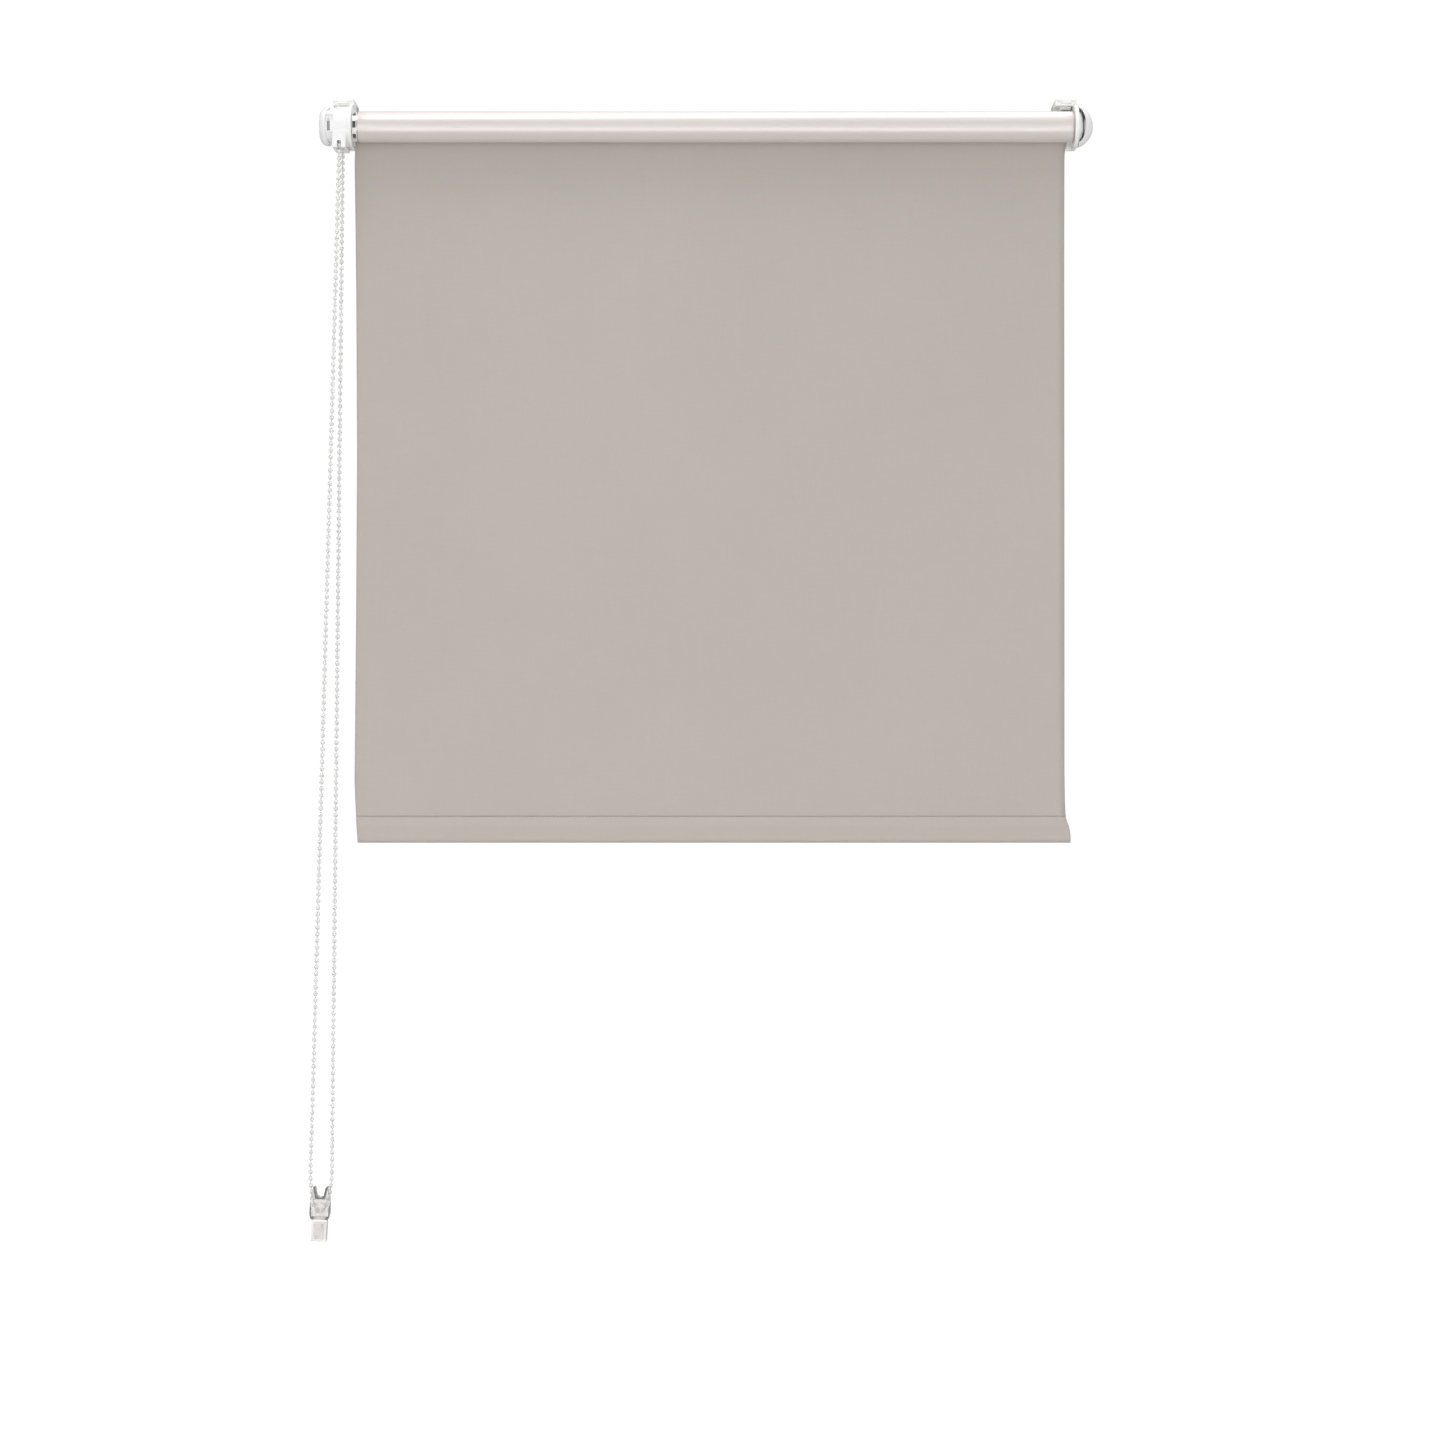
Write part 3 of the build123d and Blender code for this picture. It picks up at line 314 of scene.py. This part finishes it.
def thread(name="seam_thread"):
    shader = Shader(name, linear(168, 158, 151), 0.7, Sheen_Weight=0.3)
    twist = shader.noise(3500, 1.0, (1, 1, 0.3))
    return shader.vary(linear(150, 141, 135), linear(182, 173, 166), twist).bump(twist, 0.05 * MM).material


def white_plastic(name, low, high, roughness, gloss_spread=0.06):
    """Moulded plastic: faint flow marks, fine grain and slightly uneven gloss."""
    sockets = {"Coat_Weight": 0.12, "Coat_Roughness": 0.2}
    shader = Shader(name, high, roughness, **sockets)
    flow = shader.noise(90, 3.0, (1, 1, 0.4))
    shader.vary(low, high, flow)
    grain = shader.noise(3000, 2.0)
    shader.rough(roughness - gloss_spread, roughness + gloss_spread, flow)
    return shader.bump(grain, 0.02 * MM, 0.6).material


def clear_plastic(name="smoky_clear"):
    sockets = {"Transmission_Weight": 0.82, "IOR": 1.42, "Specular_IOR_Level": 0.6}
    shader = Shader(name, linear(238, 235, 234), 0.14, **sockets)
    flow = shader.noise(160, 3.0)
    shader.vary(linear(228, 224, 223), linear(247, 245, 244), flow)
    shader.rough(0.10, 0.20, flow)
    return shader.bump(shader.noise(900, 2.0), 0.05 * MM, 0.5).material


def bead_plastic(name="bead_plastic"):
    shader = Shader(name, linear(248, 248, 247), 0.4, Transmission_Weight=0.3, IOR=1.3)
    tone = shader.noise(400, 2.0)
    shader.vary(linear(245, 245, 243), linear(253, 253, 252), tone)
    return shader.rough(0.32, 0.5, tone).bump(shader.noise(2500, 2.0), 0.02 * MM, 0.5).material


def metal(name, colour, roughness, stretch):
    """Drawn or turned metal with fine lines along one direction."""
    shader = Shader(name, colour, roughness, Metallic=1.0, Anisotropic=0.4)
    lines = shader.noise(1800, 2.0, stretch)
    shader.rough(roughness - 0.08, roughness + 0.12, lines)
    shader.vary(tuple(c * 0.86 for c in colour), colour, lines)
    return shader.bump(lines, 0.01 * MM, 0.6).material


def rubber(name="grip_rubber"):
    shader = Shader(name, linear(96, 96, 96), 0.8)
    speck = shader.noise(1500, 3.0)
    shader.vary(linear(78, 78, 78), linear(112, 112, 112), speck)
    return shader.bump(speck, 0.08 * MM).material


def tape(name="tape_film"):
    shader = Shader(name, linear(232, 226, 196), 0.35, Coat_Weight=0.4, Coat_Roughness=0.2)
    bubbles = shader.noise(700, 2.0)
    film = shader.vary(linear(224, 216, 182), linear(240, 235, 210), bubbles)
    return film.bump(bubbles, 0.03 * MM).material


TAUPE = taupe_cloth()
PEARL = pearl_cloth()
THREAD = thread()
BRACKET_WHITE = white_plastic("bracket_white", linear(244, 244, 242), linear(251, 251, 250), 0.38)
CAP_WHITE = white_plastic("cap_white", linear(246, 246, 246), linear(252, 252, 252), 0.24)
DRIVE_WHITE = white_plastic("drive_white", linear(234, 234, 231), linear(246, 246, 244), 0.5)
# The tongue's grey is painted shade of the recessed slot on the housing's neck.
TONGUE_SHADE_GREY = white_plastic("tongue_shade_grey", linear(148, 149, 150), linear(168, 169, 170), 0.45)
CLEAR = clear_plastic()
BEAD = bead_plastic()
STEEL = metal("zinc_steel", linear(200, 200, 202), 0.3, (1, 1, 0.08))
BRIGHT_STEEL = metal("bright_zinc", linear(246, 243, 243), 0.45, (1, 1, 0.08))
ALUMINIUM = metal("drawn_aluminium", linear(214, 216, 218), 0.34, (0.04, 1, 1))
RUBBER = rubber()
TAPE = tape()

NODE_MATERIALS = {
    "bracket_left": BRACKET_WHITE,
    "bracket_right": BRACKET_WHITE,
    "clamp_hook_left": BRACKET_WHITE,
    "clamp_hook_right": BRACKET_WHITE,
    "chain_housing": CAP_WHITE,
    "housing_cap": CAP_WHITE,
    "idle_cap": CAP_WHITE,
    "hem_cap_left": BRACKET_WHITE,
    "hem_cap_right": BRACKET_WHITE,
    "clutch_spindle": DRIVE_WHITE,
    "chain_sprocket": DRIVE_WHITE,
    "drive_plug": DRIVE_WHITE,
    "idle_plug": DRIVE_WHITE,
    "bracket_pads": RUBBER,
    "lip_pad_left": RUBBER,
    "lip_pad_right": RUBBER,
    "clamp_screws": STEEL,
    "clamp_nuts": STEEL,
    "idle_pin": STEEL,
    "brake_spring": STEEL,
    "weight_slug": BRIGHT_STEEL,
    "roller_tube": ALUMINIUM,
    "hem_bar": ALUMINIUM,
    "adhesive_strip": TAPE,
    "weight_front_shell": CLEAR,
    "weight_back_shell": CLEAR,
    "weight_base": CLEAR,
}
for node_name, node_material in NODE_MATERIALS.items():
    for material_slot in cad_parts[node_name].material_slots:
        material_slot.material = node_material


# ---- Small pieces that have their own mesh ----------------------------------------------

def turned(name, outline, material, around=96):
    """A closed (x, radius) outline turned about the roller axis."""
    vertices, faces = [], []
    for x, radius in outline:
        for k in range(around):
            angle = 2 * math.pi * k / around
            vertices.append((x, AXIS_Y + radius * math.cos(angle), AXIS_Z + radius * math.sin(angle)))
    total = len(vertices)
    for i in range(len(outline)):
        for k in range(around):
            a, b = i * around + k, i * around + (k + 1) % around
            faces.append((a, b, (b + around) % total, (a + around) % total))
    return new_object(name, vertices, faces, [material])


def bearing_dome():
    """The idle bearing's body: a full dome with a spigot in the cheek, a post and the pin's bore."""
    low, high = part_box("idle_bearing")
    spigot_length, bore_depth, dome_reach, fullness = 2.8 * MM, 4.8 * MM, 5.4 * MM, 2.6
    vent_radius, bore_radius, post_radius = 0.3 * MM, 3.05 * MM, 5.0 * MM
    spigot_radius, rim_radius = 6.0 * MM, 14.6 * MM
    base = low[0] + spigot_length
    bore_end = base + bore_depth
    outline = [(low[0], bore_radius), (low[0], spigot_radius), (base, spigot_radius), (base, rim_radius)]
    for radius in np.linspace(rim_radius, post_radius, 24)[1:]:
        bulge = (1 - (radius / rim_radius) ** fullness) ** (1 / fullness)
        outline.append((base + dome_reach * bulge, float(radius)))
    outline += [(high[0], post_radius), (high[0], vent_radius)]
    outline += [(bore_end, vent_radius), (bore_end, bore_radius)]
    return turned("bearing_dome", outline, BRACKET_WHITE)


def painted_shade_band():
    """A dark ring in the rubber material under the drive plug's collar: painted shade, seen through its
    notches.
    """
    collar_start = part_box("drive_plug")[0][0]
    near, far = collar_start + 0.6 * MM, collar_start + 3.5 * MM
    inner, outer = 9.6 * MM, 11.6 * MM
    return turned("collar_painted_shade", [(near, inner), (near, outer), (far, outer), (far, inner)], RUBBER)


def coil_spring(name, low, high, mean_radius, wire_radius, turns):
    """A wound spring on the roller axis with a closed turn at each end."""
    per_turn = 20
    points = []
    for i in range(per_turn * (turns + 2) + 1):
        turn = i / per_turn
        t = min(max((turn - 1) / turns, 0), 1)
        x = low + wire_radius + (high - low - 2 * wire_radius) * t
        angle = 2 * math.pi * turn
        points.append((x, AXIS_Y + mean_radius * math.cos(angle), AXIS_Z + mean_radius * math.sin(angle)))
    vertices, faces = tube_rings(points, wire_radius, 8)
    return new_object(name, vertices, faces, [STEEL])


def latch_tongue():
    """The tongue between the ribs on the housing's neck, with rounded corners; its grey is painted shade of
    the recessed slot.
    """
    middle = Vector((-0.3396, AXIS_Y - 13.6 * MM, AXIS_Z - 1.7 * MM))
    half_width, half_height, corner, depth = 1.15 * MM, 4.6 * MM, 0.5 * MM, 0.5 * MM
    outline = []
    for side_x, side_z, first in ((1, 1, 0), (-1, 1, 90), (-1, -1, 180), (1, -1, 270)):
        for degrees in range(first, first + 91, 15):
            angle = math.radians(degrees)
            x = side_x * (half_width - corner) + corner * math.cos(angle)
            z = side_z * (half_height - corner) + corner * math.sin(angle)
            outline.append((x, z))
    # Layers from back to front: offset in Y, and scale across and along the tongue.
    layers = [(depth, 1.0, 1.0), (-0.3 * depth, 1.0, 1.0), (-depth, 0.86, 1 - 0.14 / 3)]
    count = len(outline)
    vertices = []
    for y, scale_x, scale_z in layers:
        vertices += [middle + Vector((x * scale_x, y, z * scale_z)) for x, z in outline]
    faces = [tuple(range(count)), tuple(range(3 * count - 1, 2 * count - 1, -1))]
    for layer in range(2):
        for k in range(count):
            a, b = layer * count + k, layer * count + (k + 1) % count
            faces.append((a, a + count, b + count, b))
    return new_object("latch_tongue", vertices, faces, [TONGUE_SHADE_GREY], smooth=False)


bearing = bearing_dome()
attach(bearing, "brackets")
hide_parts("idle_bearing")

# A dark ring that stands in as painted shade inside the collar's notches.
collar_painted_shade = painted_shade_band()
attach(collar_painted_shade, "roller")

spring_low, spring_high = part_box("pin_spring")
pin_coil = coil_spring("pin_coil", spring_low[0], spring_high[0], 3.1 * MM, 0.45 * MM, 7)
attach(pin_coil, "roller")
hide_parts("pin_spring")
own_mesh(pin_coil)

tongue = latch_tongue()
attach(tongue, "brackets")


# ---- Bead chain ------------------------------------------------------------------------

BEAD_DIAMETER = 4.3 * MM
BEAD_PITCH = 6.0 * MM
STRING_RADIUS = 0.65 * MM

# The loop from the front mouth of the housing to the weight and back up, in metres.
CHAIN_ROUTE = [
    (-0.3300, -0.0355, -0.0455),
    (-0.3572, -0.02335, -0.9589),
    (-0.3580, -0.0230, -0.9849),
    (-0.3532, -0.0230, -1.0081),
    (-0.3448, -0.0230, -1.0084),
    (-0.3384, -0.0230, -0.9855),
    (-0.3382, -0.02265, -0.9595),
    (-0.3300, -0.0105, -0.0455),
]


def smooth_line(route):
    """Close points read from a NURBS spline that has the route as its control points."""
    curve = bpy.data.curves.new("route", "CURVE")
    curve.dimensions = "3D"
    curve.resolution_u = 48
    spline = curve.splines.new("NURBS")
    spline.points.add(len(route) - 1)
    for point, place in zip(spline.points, route):
        point.co = (*place, 1)
    spline.order_u = 3
    spline.use_endpoint_u = True
    carrier = bpy.data.objects.new("route", curve)
    bpy.context.collection.objects.link(carrier)
    line = bpy.data.meshes.new_from_object(carrier)
    points = [v.co.copy() for v in line.vertices]
    bpy.data.objects.remove(carrier)
    bpy.data.curves.remove(curve)
    bpy.data.meshes.remove(line)
    return points


def along(points, spacing, first):
    """(point, direction) pairs at even spacing along a line."""
    found, walked, target = [], 0.0, first
    for a, b in zip(points, points[1:]):
        step = (b - a).length
        while step > 0 and walked + step >= target:
            found.append((a.lerp(b, (target - walked) / step), (b - a).normalized()))
            target += spacing
        walked += step
    return found


def spaced(points, longest):
    """The line with points added so that none are further apart than longest."""
    dense = [points[0]]
    for a, b in zip(points, points[1:]):
        count = max(1, math.ceil((b - a).length / longest))
        dense += [a.lerp(b, (i + 1) / count) for i in range(count)]
    return dense


def bead_chain(name, line, first):
    """Beads on a string along a line, as one mesh."""
    pieces = [tube_rings(line, STRING_RADIUS, 6)]
    for place, ahead in along(line, BEAD_PITCH, first):
        pieces.append(ball(place, ahead, BEAD_DIAMETER / 2, 1.04))
    vertices, faces = joined(pieces)
    return new_object(name, vertices, faces, [BEAD])


loop_line = spaced(smooth_line(CHAIN_ROUTE), 4 * MM)
chain = bead_chain("bead_chain", loop_line, BEAD_PITCH / 2)
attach(chain, "chain")
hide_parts("chain_loop")

wheel_low, wheel_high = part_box("chain_on_sprocket")
wheel_radius = (wheel_high[1] - wheel_low[1] - BEAD_DIAMETER) / 2
wheel_x = (wheel_low[0] + wheel_high[0]) / 2
string_end_z = wheel_low[2] + BEAD_DIAMETER / 2
arch = [Vector((wheel_x, AXIS_Y - wheel_radius, string_end_z))]
for degrees in range(180, -1, -5):
    turn = math.radians(degrees)
    height = AXIS_Z + wheel_radius * math.sin(turn)
    arch.append(Vector((wheel_x, AXIS_Y + wheel_radius * math.cos(turn), height)))
arch.append(Vector((wheel_x, AXIS_Y + wheel_radius, string_end_z)))
wheel_chain = bead_chain("chain_over_wheel", arch, 0.0)
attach(wheel_chain, "brackets")
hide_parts("chain_on_sprocket")


# ---- Hanging sheet and hem -------------------------------------------------------------

RIGHT_CURL_RADIUS = 7.0 * MM
LEFT_CURL = 3.0 * MM
LEFT_CURL_RADIUS = 9.0 * MM

# The hanging part sits this many millimetres behind the plane in which the cloth leaves the
# roll, so that its waves stay clear of the roll when the blind is raised.
SET_BACK = 0.95

# A faint upright crease: metres from the left edge, metres of spread, millimetres of depth.
CREASE_PLACE, CREASE_SPREAD, CREASE_DEPTH = 0.596, 0.009, 0.3

# The right edge rolls back; the hem bar opens it again. Millimetres: height from the seam
# and length of cloth rolled back.
RIGHT_CURL = [(-24, 0.6), (-17, 3.0), (-13, 5.0), (-8, 7.6), (-3.5, 10.0), (1, 10.8)]
RIGHT_CURL += [(14, 11.4), (40, 11.8), (606, 11.8), (634, 4.0)]

# The left edge strays as the turns on the roll don't lie exactly on each other.
# Millimetres: height from the seam and sideways shift of the edge.
LEFT_DRIFT = [(-24, 0.1), (-12, -0.8), (0, -1.6), (32, -3.0), (105, -2.3), (195, -1.5)]
LEFT_DRIFT += [(330, -0.7), (467, -1.4), (560, -2.4), (598, -2.9), (612, -2.2), (640, -1.6)]


def from_table(table, z):
    """A smooth value of a table at a height, in metres."""
    heights, values = zip(*table)
    above_seam = (np.asarray(z) - SEAM_Z) / MM
    spread = [np.interp(above_seam + shift, heights, values) for shift in np.linspace(-3, 3, 7)]
    return np.mean(spread, axis=0) * MM


def cloth_point(s, z):
    """Middle of the cloth at a distance s from its left edge and a height z."""
    right = np.maximum(s - (FABRIC_WIDTH - from_table(RIGHT_CURL, z)), 0)
    right_turn = right / RIGHT_CURL_RADIUS
    left = np.maximum(LEFT_CURL - s, 0)
    left_turn = left / LEFT_CURL_RADIUS
    x = FABRIC_LEFT + s + from_table(LEFT_DRIFT, z) * (1 - s / FABRIC_WIDTH)
    x += RIGHT_CURL_RADIUS * np.sin(right_turn) - right
    x += left - LEFT_CURL_RADIUS * np.sin(left_turn)
    hanging = smoothstep(AXIS_Z, AXIS_Z - 0.12, z) * smoothstep(SEAM_Z, SEAM_Z + 0.10, z)
    waves = 0.55 * np.sin(s * 11.0 + 1.1) * np.cos(z * 6.0) + 0.35 * np.sin(s * 23.0 + z * 9.0 + 0.6)
    crease = CREASE_DEPTH * np.exp(-(((s - CREASE_PLACE) / CREASE_SPREAD) ** 2))
    y = SHEET_Y + (waves + crease + SET_BACK) * MM * hanging
    y += RIGHT_CURL_RADIUS * (1 - np.cos(right_turn)) + LEFT_CURL_RADIUS * (1 - np.cos(left_turn))
    return x, y


def width_stations():
    """Distances across the cloth, close together where the edges curl."""
    fine = 0.02
    left = np.linspace(0, fine, 14, endpoint=False)
    middle = np.linspace(fine, FABRIC_WIDTH - fine, 90, endpoint=False)
    right = np.linspace(FABRIC_WIDTH - fine, FABRIC_WIDTH, 26)
    return np.concatenate([left, middle, right])


def hanging_sheet():
    """The sheet: it leaves the back of the roll on a tangent and ends at the hem seam."""
    s = width_stations()
    heights = np.concatenate([
        np.linspace(AXIS_Z, AXIS_Z - 0.03, 10, endpoint=False),
        np.linspace(AXIS_Z - 0.03, SEAM_Z + 0.03, 90, endpoint=False),
        np.linspace(SEAM_Z + 0.03, SEAM_Z, 18),
    ])
    rows = []
    wrap_radius = SHEET_Y - AXIS_Y
    for angle in np.radians(np.linspace(42, 6, 7)):
        x, y = cloth_point(s, AXIS_Z)
        height = AXIS_Z + wrap_radius * math.sin(angle)
        settle = 0.45 * MM * math.sin(angle)
        y = y - wrap_radius * (1 - math.cos(angle)) - settle
        rows.append(np.stack([x, y, np.full_like(s, height)], axis=1))
    for z in heights:
        x, y = cloth_point(s, z)
        rows.append(np.stack([x, y, np.full_like(s, z)], axis=1))
    return cloth_solid("hanging_sheet", np.array(rows), CLOTH, TAUPE, PEARL)


# Front of the pocket in millimetres: depth below the seam and offset from its middle.
HEM_BULGE = [(0, 0.22), (0.5, 0.5), (1.4, 1.05), (2.6, 1.4), (4.5, 1.7), (7.5, 2.15), (9, 2.34)]
HEM_BULGE += [(14, 2.4), (16.5, 2.5), (19, 2.64), (20.5, 2.7), (30, 2.7)]


def hem_section():
    """Points round the outside of the pocket, as (offset in Y, height), from the seam's front."""
    half = HEM_THICKNESS / 2
    depth = SEAM_Z - HEM_BOTTOM
    front = []
    close_part, wide_part = np.linspace(0, 3 * MM, 12, endpoint=False), np.linspace(3 * MM, depth - half, 20)
    for z in np.concatenate([close_part, wide_part]):
        front.append((-np.interp(z / MM, *zip(*HEM_BULGE)) * MM, SEAM_Z - z))
    fold = []
    for angle in np.linspace(0, math.pi, 14)[1:-1]:
        fold.append((-half * math.cos(angle), HEM_BOTTOM + half - half * math.sin(angle)))
    back = [(-offset, z) for offset, z in reversed(front)]
    return front + fold + back


def hem_pocket():
    """The cloth folded round the bar, open at both ends, with its inside wall."""
    s = width_stations()
    section = hem_section()
    count, stations = len(section), len(s)
    wall, narrowest, floor = 0.42 * MM, 0.45 * MM, HEM_BOTTOM + 0.4 * MM
    inner = [(offset * (1 - wall / max(abs(offset), narrowest)), max(z, floor)) for offset, z in section]
    front_count = count // 2
    vertices = []
    for outline in (section, inner):
        for offset, z in outline:
            x, y = cloth_point(s, np.full_like(s, z))
            vertices.append(np.stack([x, y + offset, np.full_like(s, z)], axis=1))
    vertices = np.concatenate(vertices)
    faces, face_materials = [], []
    layer = count * stations
    for i in range(count - 1):
        for c in range(stations - 1):
            a = i * stations + c
            b, d, e = a + 1, a + stations, a + stations + 1
            faces.append((a, d, e, b))
            face_materials.append(0 if i < front_count else 1)
            faces.append((layer + a, layer + b, layer + e, layer + d))
            face_materials.append(1)
    for c in range(stations - 1):
        for a in (c, (count - 1) * stations + c):
            edge = (a, a + 1, layer + a + 1, layer + a)
            faces.append(edge if a == c else edge[::-1])
            face_materials.append(0)
    for i in range(count - 1):
        for c in (0, stations - 1):
            a = i * stations + c
            edge = (a, a + stations, layer + a + stations, layer + a)
            faces.append(edge[::-1] if c == 0 else edge)
            face_materials.append(1)
    return new_object("hem_sleeve", vertices, faces, [TAUPE, PEARL], face_materials)


def seam_stitches():
    """Lock stitches along the seam, on both faces."""
    pitch, length, radius = 3.2 * MM, 2.5 * MM, 0.2 * MM
    stand_off, rise = 0.42 * MM, 0.18 * MM
    pieces = []
    for side in (-1, 1):
        s = 3.5 * MM
        while s + length < FABRIC_WIDTH - 3 * MM:
            points = []
            for t in np.linspace(0, 1, 5):
                z = SEAM_Z - 0.35 * MM + 0.08 * MM * math.sin(t * 5)
                x, y = cloth_point(np.array([s + t * length]), np.array([z]))
                arch_height = math.sin(math.pi * t) * rise
                points.append((float(x[0]), float(y[0]) + side * (stand_off + arch_height), z))
            pieces.append(tube_rings(points, radius, 5))
            s += pitch
    vertices, faces = joined(pieces)
    return new_object("seam_stitches", vertices, faces, [THREAD])


sheet = hanging_sheet()
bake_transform(sheet)
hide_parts("fabric_drop")

pocket = hem_pocket()
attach(pocket, "hem")
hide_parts("hem_pocket")

stitches = seam_stitches()
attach(stitches, "hem")


# ---- Wound fabric ----------------------------------------------------------------------

def wound_fabric():
    """The roll: slightly uneven along its length, with the edges of its turns at the ends."""
    turns = 5
    around, lengthwise = 144, 60
    inner_radius, edge_radius = 12.56 * MM, WOUND_RADIUS - 0.1 * MM
    groove_depth, end_slope, end_inset = 0.28 * MM, 0.5 * MM, 0.3 * MM
    profile = []
    for i in range(turns * 4 + 1):
        t = i / (turns * 4)
        radius = inner_radius + (edge_radius - inner_radius) * t
        groove = groove_depth * (0.5 - 0.5 * math.cos(2 * math.pi * turns * t))
        profile.append((ROLL_LEFT + end_slope * (1 - t) + groove_depth - groove, radius))
    right_end = [(ROLL_LEFT + ROLL_RIGHT - x, r) for x, r in reversed(profile)]
    body_stations = np.linspace(ROLL_LEFT + end_inset, ROLL_RIGHT - end_inset, lengthwise)[1:-1]
    body = [(x, WOUND_RADIUS) for x in body_stations]
    outline = profile + body + right_end
    vertices = []
    for x, radius in outline:
        for k in range(around):
            angle = 2 * math.pi * k / around
            ripple = 0.03 * math.sin(3 * angle + 9 * x) + 0.025 * math.sin(26 * x + 1.0)
            r = radius + ripple * MM * (radius > WOUND_RADIUS - 0.05 * MM)
            vertices.append((x, AXIS_Y + r * math.cos(angle), AXIS_Z + r * math.sin(angle)))
    faces = []
    rings = len(outline)
    for i in range(rings):
        for k in range(around):
            a, b = i * around + k, i * around + (k + 1) % around
            c, d = (a + around) % (rings * around), (b + around) % (rings * around)
            faces.append((a, b, d, c))
    return new_object("wound_fabric", vertices, faces, [PEARL])


roll = wound_fabric()
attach(roll, "roller")
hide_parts("fabric_roll")


# ---- Stage and light -------------------------------------------------------------------

FLOOR_Z = -1.36


def pale_floor():
    shader = Shader("floor_white", (0.7, 0.7, 0.7), 0.9)
    shader.vary((0.44, 0.44, 0.44), (0.48, 0.48, 0.48), shader.noise(3, 2.0))
    shader.bsdf.inputs["Emission Color"].default_value = (1, 1, 1, 1)
    rays = shader.node("ShaderNodeLightPath").outputs
    seen = shader.math("MAXIMUM", rays["Is Camera Ray"], rays["Is Transmission Ray"])
    shader.tree.links.new(shader.math("MULTIPLY", seen, 0.8), shader.bsdf.inputs["Emission Strength"])
    half = 6.0
    corners = [(-half, -half, FLOOR_Z), (half, -half, FLOOR_Z), (half, half, FLOOR_Z), (-half, half, FLOOR_Z)]
    return new_object("floor", corners, [(0, 1, 2, 3)], [shader.material], smooth=False)


def soft_box(name, place, target, size, power):
    data = bpy.data.lights.new(name, "AREA")
    data.shape = "RECTANGLE"
    data.size, data.size_y = size
    data.energy = power
    light = bpy.data.objects.new(name, data)
    light.location = place
    light.rotation_euler = (Vector(target) - Vector(place)).to_track_quat("-Z", "Y").to_euler()
    light.visible_camera = False
    bpy.context.collection.objects.link(light)
    return light


def studio_world():
    """White to the eye, and a soft graded dome to the object."""
    world = bpy.data.worlds.new("studio")
    world.use_nodes = True
    nodes, links = world.node_tree.nodes, world.node_tree.links
    background = nodes["Background"]
    direction = nodes.new("ShaderNodeTexCoord")
    split = nodes.new("ShaderNodeSeparateXYZ")
    links.new(direction.outputs["Generated"], split.inputs[0])
    ramp = nodes.new("ShaderNodeValToRGB")
    span = nodes.new("ShaderNodeMapRange")
    span.inputs["From Min"].default_value = -1.0
    links.new(split.outputs["Z"], span.inputs["Value"])
    links.new(span.outputs[0], ramp.inputs[0])
    stops = [(0.0, 0.50), (0.42, 0.82), (0.52, 0.70), (0.72, 0.44), (0.84, 0.55), (0.96, 1.25)]
    elements = ramp.color_ramp.elements
    while len(elements) < len(stops):
        elements.new(0.5)
    for element, (position, value) in zip(elements, stops):
        element.position = position
        element.color = (value, value, value, 1)
    links.new(ramp.outputs["Color"], background.inputs["Color"])
    seen = nodes.new("ShaderNodeBackground")
    seen.inputs["Color"].default_value = (1, 1, 1, 1)
    seen.inputs["Strength"].default_value = 1.05
    rays = nodes.new("ShaderNodeLightPath")
    straight = nodes.new("ShaderNodeMath")
    straight.operation = "MAXIMUM"
    links.new(rays.outputs["Is Camera Ray"], straight.inputs[0])
    links.new(rays.outputs["Is Transmission Ray"], straight.inputs[1])
    mix = nodes.new("ShaderNodeMixShader")
    links.new(straight.outputs[0], mix.inputs[0])
    links.new(background.outputs[0], mix.inputs[1])
    links.new(seen.outputs[0], mix.inputs[2])
    links.new(mix.outputs[0], nodes["World Output"].inputs["Surface"])
    bpy.context.scene.world = world


pale_floor()
soft_box("overhead", (0.1, -0.15, 1.1), (0, AXIS_Y, -0.2), (2.2, 0.35), 9)
soft_box("front_key", (-1.4, -2.7, -0.30), (0, 0, -0.4), (1.6, 0.8), 7)
soft_box("front_fill", (1.5, -2.7, -0.35), (0, 0, -0.4), (1.6, 0.8), 6)
soft_box("low_front", (0, -2.1, -1.12), (0, 0, -0.25), (3.6, 0.45), 17)
studio_world()
bpy.context.scene.view_settings.view_transform = "Standard"
